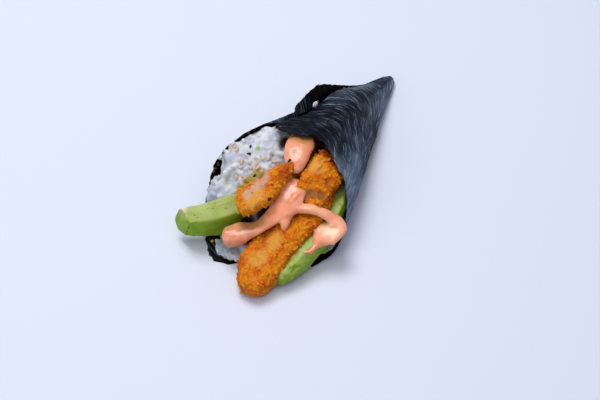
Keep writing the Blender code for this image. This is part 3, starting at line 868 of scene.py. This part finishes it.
# Grains lie no further into the cone than this, where nothing can be seen of them. The core ends soon after.
RICE_SEEN_UNTIL = 3.0
RICE_ENDS = 7.0
# Grains keep this far from the fillings and from the wrap, but lie close to its left wall, which ends here.
CLEAR_OF_FILLINGS = 0.9
CLEAR_OF_WRAP = 2.2
CLEAR_OF_LEFT_WALL = 0.5
LEFT_WALL_ENDS = -20.0
# The left wall's first and last rulings, from the ground up, and the room that the rice leaves inside it.
WALL_FROM, WALL_TO = 8, 3
WALL_ROOM = 1.1
# Heaps, each a middle, its size and how much higher it stands than the bed.
RICE_HEAPS = (
    ((-52.0, -30.0, 26.0), (14.0, 20.0, 18.0), 2.6),
    ((-42.0, -6.0, 32.0), (18.0, 18.0, 18.0), 4.2),
)
# The way that the heaps rise: up, and out against the left wall.
HEAPS_LEAN = (-0.55, 0.30, 1.0)
# Hollows where the nori shows between the grains, each a middle and its size.
RICE_BARE = (
    ((-51.8, -39.5, 23.5), (7.6, 11.0, 10.0)),
    ((-50.0, -14.5, 33.0), (6.0, 5.5, 7.0)),
    ((-45.0, -5.0, 36.0), (5.5, 5.5, 7.0)),
    ((-6.0, -12.0, 31.0), (9.0, 15.0, 9.0)),
    ((-14.0, -61.0, 20.0), (6.0, 7.0, 9.0)),
)
# Gaps between the fillings, painted near black as shade.
RICE_DEEP_SHADE = (
    ((-17.5, -51.5, 17.0), (6.0, 10.0, 9.0)),
    ((-19.0, -64.5, 10.0), (6.0, 7.0, 8.0)),
    ((-24.0, -59.0, 14.0), (9.0, 8.0, 8.0)),
    ((-23.0, -14.5, 35.0), (4.4, 8.0, 5.0)),
    ((-6.0, -12.0, 29.0), (12.0, 20.0, 12.0)),
)
# Grains spilled on the lower lip: their middle, how far they lie around it, and how many there are.
SPILL_MIDDLE = (-28.0, -72.5, 2.6)
SPILL_REACH = (7.0, 3.6, 1.4)
SPILL_COUNT = 60
# Patches stained by the frying, and bluish grey patches of painted shade.
RICE_STAINS = (
    ((-27.5, -38.5, 30.5), (6.0, 7.0, 7.0)),
    ((-30.5, -43.0, 27.5), (6.0, 7.0, 7.0)),
    ((-33.0, -47.5, 24.0), (6.5, 7.0, 7.0)),
    ((-24.0, -66.0, 14.0), (9.0, 9.0, 9.0)),
)
RICE_BLUISH_SHADE = (
    ((-50.5, -55.0, 13.0), (9.0, 12.0, 13.0)),
    ((-31.0, -72.0, 5.0), (12.0, 12.0, 8.0)),
)


def heaped(points):
    """The rice bed's points, raised into its heaps."""
    rise = sum(height * dab(points, middle, size) for middle, size, height in RICE_HEAPS)
    return points + np.array(HEAPS_LEAN) * (rise * smooth_step(6.0, 14.0, points[:, 2]))[:, None]


def held_in(points):
    """The points, with those that poke through the sheet's left wall put back inside it. Seen from the apex,
    the wall is a line on the section plane, and each point's x stays a little to the right of that line,
    wherever the sheet reaches as far as the point."""
    wall = curve_at(NORI_RULINGS, np.linspace(WALL_FROM, WALL_TO, 60))
    reach = (APEX_Y - points[:, 1]) / (APEX_Y - SECTION_Y)
    height = points[:, 2] / reach
    line = np.interp(height, wall[:, 1], wall[:, 0]) * reach + WALL_ROOM
    edge = np.interp(height, wall[:, 1], wall[:, 2], right=0.0)
    x = np.where(reach < edge, np.maximum(points[:, 0], line), points[:, 0])
    return np.column_stack([x, points[:, 1:]])


def make_rice():
    """The rice: a core a little under the surface, grains half sunk in it wherever it lies open, and more
    spilled on the lip, melted into one sticky skin."""
    points, (triangles,) = node_surface("rice_bed")
    points = heaped(points)
    sunk = CORE_SINKS + HOLLOWS_SINK * dabs(points, RICE_BARE)
    core = points - skin_normals(points, triangles) * sunk[:, None]
    core[:, 1] = np.minimum(core[:, 1], RICE_ENDS)

    rng = np.random.default_rng(11)
    places, normals = spread(points, triangles, GRAIN_SPACING, rng)
    fillings = search_tree(*map(node_surface, FILLINGS))
    wrap = search_tree(node_surface("nori_sheet"))
    from_wrap = np.where(places[:, 0] < LEFT_WALL_ENDS, CLEAR_OF_LEFT_WALL, CLEAR_OF_WRAP)
    bare = dabs(places, RICE_BARE)
    open_places = [
        number
        for number, (place, normal) in enumerate(zip(places, normals))
        if place[1] < RICE_SEEN_UNTIL
        and bare[number] < 0.45
        and normal[2] > -0.5
        and fillings.find_nearest(place, CLEAR_OF_FILLINGS)[0] is None
        and wrap.find_nearest(place, from_wrap[number])[0] is None
    ]
    # The spilled grains come first, and get their places once the others have theirs.
    places = np.vstack([np.zeros((SPILL_COUNT, 3)), places[open_places]])
    normals = np.vstack([np.tile((0.0, 0.0, 1.0), (SPILL_COUNT, 1)), normals[open_places]])
    count = len(places)
    axes = tossed_axes(normals, GRAIN_TILT, rng)
    sizes = np.array(GRAIN_SIZE) * rng.uniform(*GRAIN_SIZES_VARY, (count, 3))
    stands = rng.random(count) < STANDING_SHARE
    depths = np.where(stands, rng.uniform(*STANDING_DEPTHS, count), rng.uniform(*SUNKEN_DEPTHS, count))
    middles = places - normals * depths[:, None]
    middles[:SPILL_COUNT] = np.array(SPILL_MIDDLE) + rng.uniform(-1, 1, (SPILL_COUNT, 3)) * SPILL_REACH
    grains, faces = copies(kernel(*GRAIN_SHAPE), middles, axes, sizes)
    solids = [(core, [triangles]), (grains.reshape(-1, 3), faces)]
    skin, quads = melted(solids, RICE_VOXEL, RICE_EASING)
    skin = held_in(skin)
    marks = {
        # Painted shade in the hollows, in bluish patches and nearly black deep between the fillings; the
        # stains are the rice's own colour.
        "hollow": smooth_step(0.05, 0.45, hollows(skin, quads, 10)),
        "stain": 0.92 * dabs(skin, RICE_STAINS),
        "deep": dabs(skin, RICE_DEEP_SHADE),
        "sodden": 0.7 * dabs(skin, RICE_BLUISH_SHADE),
    }
    new_piece("rice", skin, [quads], [RICE], ["rice_bed"], marks=marks)
    return skin, [quads]


# ---------- Breaded strips ----------

# Pieces laid along a curved spine. Each row: x, y, z, half width, half thickness, roll in degrees.
STRIP_FRONT = (
    (-4.4, -96.0, 6.2, 4.6, 4.6, 0.0),
    (-4.6, -91.0, 6.8, 7.8, 5.4, 0.0),
    (-5.0, -83.0, 7.8, 11.0, 5.8, 0.0),
    (-4.0, -73.0, 10.4, 11.6, 5.8, 0.0),
    (-1.4, -63.0, 14.0, 10.8, 5.8, 0.0),
    (1.6, -53.5, 17.6, 10.4, 5.6, 0.0),
    (4.8, -43.0, 19.6, 10.0, 5.4, 0.0),
    (5.8, -33.0, 19.4, 9.2, 5.0, 0.0),
    (5.0, -25.0, 18.4, 8.2, 4.6, 0.0),
)
STRIP_RIGHT = (
    (3.4, -42.4, 25.6, 8.4, 5.4, 12.0),
    (4.2, -37.0, 27.8, 9.0, 6.2, 14.0),
    (5.0, -30.0, 29.6, 9.6, 6.4, 18.0),
    (6.0, -19.0, 30.8, 9.4, 6.0, 20.0),
    (4.2, -6.0, 27.0, 7.0, 4.6, 16.0),
    (3.0, 6.0, 22.4, 5.2, 3.6, 10.0),
    (1.8, 14.0, 19.0, 4.4, 3.0, 6.0),
)
STRIP_LEFT = (
    (-27.4, -62.0, 31.0, 6.2, 2.6, 0.0),
    (-23.4, -58.2, 32.0, 7.2, 3.2, 4.0),
    (-17.8, -50.8, 34.2, 6.6, 3.4, 10.0),
    (-13.8, -41.5, 37.2, 5.2, 3.4, 14.0),
    (-11.0, -34.5, 39.4, 3.0, 2.8, 8.0),
    (-9.6, -30.5, 40.4, 1.2, 1.8, 0.0),
)
STRIP_BACK = (
    (-12.4, -29.0, 22.0, 4.0, 4.0, 0.0),
    (-13.4, -22.0, 23.4, 4.4, 4.4, 0.0),
    (-14.0, -10.0, 25.0, 5.0, 4.6, 0.0),
    (-13.0, 2.0, 25.6, 5.2, 4.4, 0.0),
    (-11.5, 11.0, 24.0, 5.2, 4.2, 0.0),
)
# Where a strip's coat is thin, darker with painted shade and some toasting, off the flesh and cut, each a
# middle and its size.
FRONT_PATCHES = {
    "thin": (((-2.5, -68.0, 19.0), (6.5, 9.0, 7.0)), ((-6.0, -79.0, 15.0), (7.0, 8.0, 6.0))),
    "toast": (((-8.0, -64.0, 18.0), (5.0, 10.0, 7.0)), ((-15.0, -86.0, 9.0), (4.0, 12.0, 9.0))),
}
RIGHT_PATCHES = {
    "thin": (((1.0, -24.0, 37.5), (8.0, 8.0, 7.0)), ((3.0, -36.0, 30.0), (6.0, 5.0, 5.0))),
    "toast": (((6.0, -10.0, 36.0), (12.0, 12.0, 8.0)), ((11.0, -30.0, 33.0), (4.0, 6.0, 6.0))),
    "flesh": (((1.0, -42.4, 33.0), (5.5, 3.0, 4.5)),),
    "cuts": (
        ((2.4, -41.6, 31.5), (4.6, 3.2, 6.0)),
        ((6.4, -39.8, 32.5), (4.8, 3.4, 6.0)),
        ((10.6, -38.2, 32.5), (4.6, 3.2, 6.0)),
    ),
}
LEFT_PATCHES = {
    "thin": (((-19.5, -57.0, 36.0), (8.0, 12.0, 8.0)),),
    "toast": (((-10.5, -38.0, 40.0), (4.0, 9.0, 7.0)),),
    "flesh": (
        ((-23.6, -56.5, 35.5), (4.2, 6.0, 7.0)),
        ((-21.4, -51.5, 36.5), (4.2, 6.0, 7.0)),
        ((-18.6, -46.5, 38.5), (3.8, 6.0, 7.0)),
    ),
}
# The back strip lies under painted shade all over.
BACK_PATCHES = {"toast": (((-10.0, -10.0, 35.0), (20.0, 30.0, 10.0)),)}
STRIP_AROUND = 100
STRIP_RINGS = 130
STRIP_END = 3.4
STRIP_SQUARENESS = 4.4
STRIP_END_SQUARENESS = 3.0
STRIP_CUT_DEPTH = 2.2
STRIP_VOXEL = 0.4
STRIP_EASING = 1
FLAKE_SPACING = 1.35
FLAKE_SHAPE = (6, 3, 0.35, 0.15)
FLAKE_SIZE = (1.15, 0.62, 0.34)
FLAKE_SIZES_VARY = (0.6, 1.6)
FLAKE_SIDES_VARY = (0.8, 1.2)
FLAKE_TILT = 0.6
FLAKE_HEIGHTS = (-0.35, 0.30)


def make_strip(name, node, rows, seed, thin=(), flesh=(), toast=(), cuts=()):
    """A breaded strip: a flat slab carried along its spine, uneven in its width and notched where it is cut,
    with flakes of crumb set all over it and melted into one crust. Flakes are few where the coat is thin."""
    outline = rounded_outline(STRIP_AROUND, STRIP_SQUARENESS)
    rings = spine_rings(rows, outline, STRIP_RINGS, STRIP_END, STRIP_END_SQUARENESS)
    swell = 0.5 - 0.8 * lumps(rings, 8.0, seed) - 0.75 * lumps(rings, 3.0, seed + 1)
    swell = swell - STRIP_CUT_DEPTH * dabs(rings, cuts)
    slab, faces = closed_tube(rings + grid_normals(rings, True) * swell[..., None])
    triangles = np.vstack([faces[0][:, :3], faces[0][:, [0, 2, 3]], *faces[1:]])
    rng = np.random.default_rng(seed)
    places, normals = spread(slab, triangles, FLAKE_SPACING, rng)
    smooth = np.max([dabs(places, thin) * 0.8, dabs(places, flesh), dabs(places, cuts)], axis=0)
    kept = rng.random(len(places)) > smooth
    places, normals = places[kept], normals[kept]
    count = len(places)
    axes = tossed_axes(normals, FLAKE_TILT, rng)
    sizes = np.array(FLAKE_SIZE) * rng.uniform(*FLAKE_SIZES_VARY, (count, 1))
    sizes = sizes * rng.uniform(*FLAKE_SIDES_VARY, (count, 3))
    middles = places + normals * rng.uniform(*FLAKE_HEIGHTS, count)[:, None]
    flakes, flake_faces = copies(kernel(*FLAKE_SHAPE), middles, axes, sizes)
    solids = [(slab, faces), (flakes.reshape(-1, 3), flake_faces)]
    skin, quads = melted(solids, STRIP_VOXEL, STRIP_EASING)
    under = hollows(skin, quads, 12)
    wander = skin + 0.9 * np.stack([lumps(skin, 2.5, 20 + axis) for axis in range(3)], axis=-1)
    marks = {
        # Painted highlights on the raised tips.
        "raised": smooth_step(0.05, 0.45, -under),
        # Painted shade in the hollows, and painted shade with some toasting in the patches.
        "toast": (0.55 * smooth_step(0.02, 0.40, under) + 0.6 * dabs(wander, toast)).clip(0, 1),
        "thin": dabs(wander, thin),
        "flesh": dabs(wander, flesh),
        "cut": dabs(wander, cuts) * (0.75 + 0.25 * lumps(skin, 1.2, 24)),
    }
    new_piece(name, skin, [quads], [BREADING], [node], marks=marks)
    return skin, [quads]


# ---------- Avocado ----------

AVOCADO_LEFT = (
    (-66.2, -80.6, 13.4, 5.2, 6.8, 0.0),
    (-52.2, -73.7, 15.2, 5.8, 8.4, 0.0),
    (-43.8, -68.6, 15.4, 6.8, 10.6, 0.0),
    (-36.4, -60.6, 14.6, 7.0, 11.4, 0.0),
    (-29.4, -52.0, 15.4, 6.2, 9.8, 0.0),
    (-23.6, -44.4, 17.0, 4.8, 6.6, 0.0),
    (-19.0, -38.0, 17.0, 3.6, 5.0, 0.0),
)
AVOCADO_RIGHT = (
    (4.4, -82.0, 5.4, 4.4, 3.6, 0.0),
    (7.0, -76.0, 7.4, 6.4, 5.2, 0.0),
    (10.4, -67.5, 9.4, 6.8, 6.6, 0.0),
    (14.2, -57.0, 11.4, 6.8, 7.2, 0.0),
    (17.4, -46.0, 13.2, 6.4, 7.6, 0.0),
    (18.2, -35.0, 15.4, 5.6, 7.6, 0.0),
    (15.6, -20.0, 16.6, 5.0, 7.0, 0.0),
    (11.5, -6.0, 15.6, 4.4, 6.0, 0.0),
    (8.0, 6.0, 14.0, 3.6, 4.8, 0.0),
)
# The slices' sections, across towards the roll's right and up, in half widths and half heights.
WEDGE_LEFT = ((0.92, 0.66), (-0.50, 1.0), (-0.95, 0.72), (-0.95, -0.45), (-0.15, -1.0), (0.80, -0.75))
WEDGE_RIGHT = ((0.98, 0.35), (0.55, 0.98), (-0.85, 0.70), (-0.95, -0.5), (-0.2, -1.0), (0.8, -0.8))
AVOCADO_AROUND = 96
AVOCADO_END = 3.0
AVOCADO_END_SQUARENESS = 2.6
# Knife drags: how many lie round a slice, how often they change along it in a millimetre, and their depth.
DRAGS_AROUND = 70
DRAGS_ALONG = 0.04
DRAGS_DEPTH = 0.13
# Where the flesh is creamy at the left slice's cut corner, a middle and its size.
AVOCADO_CREAM = (((-56.5, -71.5, 21.0), (6.0, 6.0, 6.0)),)
# Flat cuts across a slice's end: a place on the cut, the way it faces, and the way along the slice.
LEFT_CUTS = (
    ((-54.2, -75.0, 18.0), (-0.49, -0.85, 0.19), (-0.86, -0.50, 0.0)),
    ((-60.8, -72.6, 14.0), (-0.95, 0.05, 0.30), (-0.86, -0.50, 0.0)),
)
# Where the left slice is dented deeper, a middle and its size.
LEFT_BITES = (((-52.2, -73.7, 15.6), (9.0, 9.0, 12.0)),)
# From by the stone to by the skin; the deeper greens also stand for painted shade on faces that look down.
AVOCADO_GREENS = (
    (0.0, (0.68, 0.62, 0.42)),
    (0.3, (0.42, 0.45, 0.19)),
    (0.65, (0.262, 0.395, 0.018)),
    (1.0, (0.125, 0.255, 0.004)),
)


def make_avocado(name, node, rows, section, count, torn, rind_and_shade_range, cuts=(), bites=()):
    """An avocado slice: a wedge carried along its spine, with knife drags along it, lumps that are torn most
    near the mouth and flat cuts, then soft dents all over and deeper ones where it is bitten. Its green
    deepens, between the two rinds, from the faces that look up to those that look down: partly the flesh's own
    green towards the skin, partly painted shade."""
    outline = cut_outline(section, AVOCADO_AROUND, 4)
    rings = spine_rings(rows, outline, count, AVOCADO_END, AVOCADO_END_SQUARENESS)
    around = np.linspace(0, DRAGS_AROUND, AVOCADO_AROUND, endpoint=False)
    around = np.broadcast_to(around, rings.shape[:2])
    drags = lumps(np.stack([around, DRAGS_ALONG * rings[..., 1], 0 * around], axis=-1), 1.0, 40)
    ragged = torn * (0.35 + smooth_step(-66.0, -80.0, rings[..., 1]))
    height = DRAGS_DEPTH * drags + 0.5 * lumps(rings, 6.0, 41)
    height = height + ragged * (lumps(rings, 2.2, 42) + 0.5 * lumps(rings, 1.0, 43))
    rings = rings + grid_normals(rings, True) * height[..., None]
    for place, facing, along in cuts:
        rings = pared(rings, place, facing, along)
    dents = 0.6 * lumps(rings, 8.0, 45) + 1.5 * lumps(rings, 4.0, 44) * dabs(rings, bites)
    rings = rings + grid_normals(rings, True) * dents[..., None]
    up = grid_normals(rings, True)[..., 2]
    # Painted shade as well as the skin's green: faces that look down get the deeper green.
    rind = rind_and_shade_range[0] + (rind_and_shade_range[1] - rind_and_shade_range[0]) * smooth_step(0.80, 0.15, up)
    rind = rind - 0.45 * dabs(rings, AVOCADO_CREAM)
    rind = np.append(rind.ravel(), [rind[0].mean(), rind[-1].mean()])
    points, faces = closed_tube(rings)
    new_piece(name, points, faces, [AVOCADO], [node], marks={"rind": rind})
    return points, faces


# ---------- Sauce ----------

SAUCE_BACK = (
    (-14.4, -5.0, 37.0, 4.0, 2.4, 0.0),
    (-13.0, -12.0, 40.2, 6.8, 3.0, 0.0),
    (-11.2, -20.0, 41.4, 7.8, 3.3, 0.0),
    (-9.0, -27.0, 40.2, 6.4, 3.5, 0.0),
    (-6.8, -34.0, 37.2, 3.2, 2.8, 0.0),
)
SAUCE_POOL = (
    (-5.0, -33.4, 33.0, 7.0, 1.8, 0.0),
    (-5.0, -41.6, 31.6, 8.6, 2.6, 0.0),
    (-5.2, -49.6, 28.8, 8.8, 3.0, 0.0),
    (-8.0, -56.8, 25.4, 5.4, 2.4, 0.0),
    (-13.2, -63.4, 21.2, 4.4, 1.9, 0.0),
    (-19.0, -67.4, 18.4, 5.6, 3.0, 0.0),
    (-24.2, -70.8, 15.8, 6.6, 5.2, 0.0),
    (-28.4, -73.8, 14.8, 6.2, 5.2, 0.0),
    (-31.0, -75.4, 14.6, 4.8, 4.2, 0.0),
)
SAUCE_CURL = (
    (-3.0, -51.5, 28.4, 3.6, 2.6, 0.0),
    (2.2, -48.6, 28.6, 3.2, 2.4, 0.0),
    (8.2, -46.2, 28.6, 3.0, 2.3, 0.0),
    (14.6, -44.6, 27.0, 3.2, 2.3, 0.0),
    (21.0, -44.0, 24.0, 3.9, 2.4, 0.0),
    (24.8, -46.8, 21.0, 5.8, 2.7, 0.0),
    (20.6, -51.4, 19.2, 8.6, 2.9, 0.0),
    (18.6, -56.6, 17.6, 4.2, 2.5, 0.0),
    (18.0, -60.6, 16.8, 1.7, 1.5, 0.0),
    (16.8, -64.0, 16.2, 1.2, 1.2, 0.0),
    (13.0, -66.4, 16.4, 0.8, 0.9, 0.0),
)
SAUCE_TONGUE = (
    (-3.6, -49.5, 28.8, 6.2, 2.6, 0.0),
    (-2.4, -54.5, 26.8, 4.4, 2.3, 0.0),
    (-0.8, -59.0, 23.8, 2.4, 2.0, 0.0),
    (0.2, -61.8, 21.8, 1.0, 1.4, 0.0),
)
SAUCE_NIB = (
    (17.0, -51.5, 19.6, 3.6, 2.0, 0.0),
    (13.6, -51.3, 19.8, 1.8, 1.3, 0.0),
    (11.0, -51.0, 20.0, 0.5, 0.6, 0.0),
)
SAUCE_SPIKE = (
    (23.0, -47.0, 21.6, 1.8, 1.4, 0.0),
    (26.6, -46.0, 22.4, 0.9, 0.8, 0.0),
    (29.0, -45.2, 23.2, 0.35, 0.4, 0.0),
)
SAUCE_FOLD_LEFT = (
    (-7.4, -38.4, 34.6, 1.0, 0.9, 0.0),
    (-9.2, -42.6, 34.0, 1.5, 1.2, 0.0),
    (-10.6, -47.2, 32.4, 1.1, 1.0, 0.0),
)
SAUCE_FOLD_RIGHT = (
    (0.2, -41.8, 33.4, 0.9, 0.8, 0.0),
    (-1.4, -45.4, 32.9, 1.5, 1.2, 0.0),
    (-2.6, -50.4, 31.2, 1.2, 1.0, 0.0),
)
# The runs that each sauce is poured in: a spine, how many rings lie along it, and how long its ends are.
BACK_RUNS = ((SAUCE_BACK, 60, 3.0),)
DRIZZLE_RUNS = (
    (SAUCE_POOL, 80, 3.0),
    (SAUCE_CURL, 120, 1.2),
    (SAUCE_TONGUE, 40, 1.5),
    (SAUCE_SPIKE, 20, 0.6),
    (SAUCE_NIB, 20, 0.6),
    (SAUCE_FOLD_LEFT, 24, 1.2),
    (SAUCE_FOLD_RIGHT, 24, 1.2),
)
SAUCE_AROUND = 40
SAUCE_SQUARENESS = 2.3
SAUCE_VOXEL = 0.42
SAUCE_EASING = 10
# Where the sauce is browner: a real smear in the first two, both at the dollop's top, and painted shade in the
# rest. Then where painted light makes it paler, and where it is watery. Each a middle and its size.
SAUCE_SMEARS_AND_SHADE = (
    ((-15.0, -61.5, 22.5), (10.0, 6.5, 8.0)),
    ((-20.5, -65.0, 20.0), (8.0, 5.0, 7.0)),
    # Partly a thin smear, partly painted shade, at the dollop's top under the wrap.
    ((-11.0, -14.5, 43.5), (12.0, 6.0, 8.0)),
    # Painted shade over the left blob, the branch to it and its foot.
    ((-21.0, -68.0, 25.5), (12.0, 9.0, 12.0)),
    ((-26.0, -70.0, 27.5), (13.0, 11.0, 12.0)),
    ((-26.0, -76.0, 11.0), (9.0, 8.0, 8.0)),
)
# Painted light: paler on the curl and the right blob.
SAUCE_PAINTED_LIGHT = (
    ((8.0, -45.0, 27.0), (15.0, 8.0, 8.0)),
    ((23.0, -49.0, 21.0), (12.0, 12.0, 9.0)),
)
SAUCE_WATERY = (
    ((17.5, -46.4, 21.0), (4.5, 4.0, 4.0)),
    ((14.5, -50.0, 19.0), (3.0, 3.0, 4.0)),
)


def make_sauce(name, node, runs):
    """Poured sauce: flattened beads carried along their spines, melted into one skin and smoothed."""
    outline = rounded_outline(SAUCE_AROUND, SAUCE_SQUARENESS)
    beads = []
    for rows, count, end_length in runs:
        rings = spine_rings(rows, outline, count, end_length, 2.0)
        outward = unit(rings - rings.mean(axis=1, keepdims=True))
        beads.append(closed_tube(rings + outward * 0.6 * lumps(rings, 5.0, 50)[..., None]))
    skin, quads = melted(beads, SAUCE_VOXEL, SAUCE_EASING)
    marks = {
        # Painted light on the curl and the blob; painted shade in most of the smears.
        "pale": 0.8 * dabs(skin, SAUCE_PAINTED_LIGHT),
        "smeared": 0.85 * dabs(skin + 0.9 * lumps(skin, 3.0, 52)[:, None], SAUCE_SMEARS_AND_SHADE),
        "watery": 0.8 * dabs(skin, SAUCE_WATERY),
    }
    new_piece(name, skin, [quads], [SAUCE], [node], marks=marks)
    return skin, [quads]


# ---------- Seeds and scraps ----------

# Where each lies, from above: x, y, and its turn in degrees.
BLACK_SEEDS = (
    (-37.5, -29.0, 20), (-38.5, -25.0, 100), (-29.0, -39.0, 60), (-29.5, -45.0, 130), (-11.5, -55.5, 80),
    (-11.5, -31.0, 70),
)
PALE_SEEDS = (
    (-45.0, -29.5, 75), (-47.0, -28.0, 120), (-39.5, -34.0, 100), (-39.0, -36.5, 30), (-35.0, -33.0, 15),
    (-33.5, -35.5, 170), (-31.0, -32.5, 85), (-32.5, -30.5, 35), (-29.0, -29.5, 5), (-25.5, -25.0, 110),
    (-22.5, -27.5, 20), (-29.0, -34.5, 70), (-39.5, -41.0, 140), (-36.5, -41.5, 170), (-26.0, -28.0, 60),
    (-34.0, -4.5, 45),
)
GREEN_SCRAPS = ((-34.5, -24.0, 30), (-34.0, -25.0, 110), (-44.5, -43.5, 80), (-43.5, -44.5, 20))
# These lie on the lower lip under the left slice, so they are dropped from below it.
ORANGE_SCRAPS = ((-41.0, -69.0, 30), (-40.0, -70.5, 90))
UNDER_LEFT_SLICE = 6.0
# The one grain of rice that has strayed on to the loose corner.
LOOSE_GRAINS = ((-24.9, 30.6, 10),)
OLIVE_FLECKS = (
    (-17.4, 53.5, 20), (-15.6, 56.6, 80), (-14.6, 58.6, 10), (-54.0, -38.0, 60), (-54.5, -40.0, 110),
    (-53.5, -36.0, 80), (-27.0, -10.0, 10), (-44.5, -15.5, 40),
)
ABOVE_ALL = 90.0
SEED_SHAPE = (10, 7, 0.6, 0.3)
# How strongly each leans from square to what it lies on towards straight up.
UPWARD_LEAN = (0.0, 0.0, 0.6)


def strew(name, spots, size, look, tree, seed, tilt, start=ABOVE_ALL):
    """Seeds or scraps laid on whatever food is under each spot, about a third sunk in it."""
    found = [tree.ray_cast((x, y, start), (0.0, 0.0, -1.0)) for x, y, _ in spots]
    places = np.array([place[:] for place, *_ in found])
    normals = unit(np.array([normal[:] for _, normal, *_ in found]) + UPWARD_LEAN)
    rng = np.random.default_rng(seed)
    turns = np.radians([turn for *_, turn in spots])
    sizes = np.array(size) * rng.uniform(0.88, 1.12, (len(spots), 3))
    middles = places + normals * size[2] * 0.4
    axes = turned_axes(normals, turns, rng.normal(0, tilt, len(spots)))
    seeds, faces = copies(kernel(*SEED_SHAPE), middles, axes, sizes)
    new_piece(name, seeds, faces, [look])


# ---------- Stage, light and camera ----------


# Soft lights: name, place and width in metres, power in watts, and colour.
LIGHTS = (
    ("key", (-0.35, 0.22, 1.1), 0.6, 9.5, (1.0, 0.99, 0.975)),
    ("overhead", (0.15, -0.25, 1.4), 1.2, 5.0, (0.98, 0.985, 1.0)),
    ("front", (-0.35, -1.2, 0.7), 1.0, 4.0, (1.0, 0.99, 0.98)),
)
SKY_COLOUR = (0.88, 0.92, 1.0, 1.0)
SKY_STRENGTH = 0.34
FLOOR_REACH = 3.0


def soft_light(name, place, size, power, colour):
    """A round area light that looks at what the camera looks at."""
    light = bpy.data.lights.new(name, "AREA")
    light.shape, light.size = "DISK", size
    light.energy, light.color = power, colour
    lamp = bpy.data.objects.new(name, light)
    lamp.location = Vector(place)
    lamp.rotation_euler = (CAMERA_TARGET - lamp.location).to_track_quat("-Z", "Y").to_euler()
    bpy.context.scene.collection.objects.link(lamp)


def make_stage():
    """A plain floor, three soft lights, a pale sky and the camera."""
    signs = ((-1, -1), (1, -1), (1, 1), (-1, 1))
    corners = [(x * FLOOR_REACH, y * FLOOR_REACH, 0) for x, y in signs]
    mesh = bpy.data.meshes.new("floor")
    mesh.from_pydata(corners, [], [(0, 1, 2, 3)])
    mesh.materials.append(floor_look())
    floor = bpy.data.objects.new("floor", mesh)
    bpy.context.scene.collection.objects.link(floor)

    for light in LIGHTS:
        soft_light(*light)

    world = bpy.data.worlds.new("studio")
    world.use_nodes = True
    background = world.node_tree.nodes["Background"]
    background.inputs["Color"].default_value = SKY_COLOUR
    background.inputs["Strength"].default_value = SKY_STRENGTH
    bpy.context.scene.world = world

    lens = bpy.data.cameras.new("camera")
    lens.lens = CAMERA_LENS
    camera = bpy.data.objects.new("camera", lens)
    level = CAMERA_DISTANCE * math.cos(CAMERA_HEIGHT)
    away = Vector((
        level * math.sin(CAMERA_TURN),
        -level * math.cos(CAMERA_TURN),
        CAMERA_DISTANCE * math.sin(CAMERA_HEIGHT),
    ))
    camera.location = CAMERA_TARGET + away
    camera.rotation_euler = (-away).to_track_quat("-Z", "Y").to_euler()
    bpy.context.scene.collection.objects.link(camera)
    bpy.context.scene.camera = camera
    bpy.context.scene.view_settings.view_transform = "Standard"


# ---------- The hand roll ----------

NORI_OUTSIDE, NORI_INSIDE = nori_outside(), nori_inside()
RICE, BREADING, AVOCADO, SAUCE = rice_look(), breading_look(), avocado_look(), sauce_look()
BLACK_SEED = speck_look("black_seed", (0.004, 0.004, 0.004), (0.014, 0.012, 0.010), 0.35)
PALE_SEED = speck_look("pale_seed", (0.47, 0.31, 0.20), (0.70, 0.54, 0.40), 0.4)
GREEN_SCRAP = speck_look("green_scrap", (0.25, 0.42, 0.03), (0.45, 0.60, 0.10), 0.4)
OLIVE_FLECK = speck_look("olive_fleck", (0.055, 0.048, 0.012), (0.22, 0.20, 0.06), 0.6)
ORANGE_SCRAP = speck_look("orange_scrap", (0.62, 0.24, 0.02), (0.80, 0.45, 0.10), 0.5)

nori_inner_side = make_nori()
make_nori_tip()
rice = make_rice()
front = make_strip("front_strip", "strip_front", STRIP_FRONT, 61, **FRONT_PATCHES)
right = make_strip("right_strip", "strip_right", STRIP_RIGHT, 71, **RIGHT_PATCHES)
left = make_strip("left_strip", "strip_left", STRIP_LEFT, 81, **LEFT_PATCHES)
make_strip("back_strip", "strip_back", STRIP_BACK, 91, **BACK_PATCHES)
left_slice = make_avocado(
    "left_avocado", "avocado_left", AVOCADO_LEFT, WEDGE_LEFT, 130, 0.15, (0.45, 0.80), LEFT_CUTS, LEFT_BITES
)
right_slice = make_avocado(
    "right_avocado", "avocado_right", AVOCADO_RIGHT, WEDGE_RIGHT, 150, 0.6, (0.46, 0.74)
)
back_sauce = make_sauce("back_sauce", "sauce_back", BACK_RUNS)
drizzle = make_sauce("drizzled_sauce", "sauce_drizzle", DRIZZLE_RUNS)
food = search_tree(rice, left, front, right, back_sauce, drizzle, left_slice, right_slice, nori_inner_side)
strew("black_seeds", BLACK_SEEDS, (1.25, 0.85, 0.55), BLACK_SEED, food, 5, 0.2)
strew("pale_seeds", PALE_SEEDS, (1.65, 0.95, 0.55), PALE_SEED, food, 6, 0.25)
strew("green_scraps", GREEN_SCRAPS, (1.0, 0.6, 0.3), GREEN_SCRAP, food, 7, 0.4)
strew(
    "orange_scraps", ORANGE_SCRAPS, (1.3, 0.9, 0.6), ORANGE_SCRAP, food, 8, 0.4, UNDER_LEFT_SLICE
)
strew("loose_grains", LOOSE_GRAINS, (2.9, 2.1, 1.7), RICE, food, 9, 0.3)
strew("olive_flecks", OLIVE_FLECKS, (1.5, 0.8, 0.35), OLIVE_FLECK, food, 12, 0.4)
make_stage()
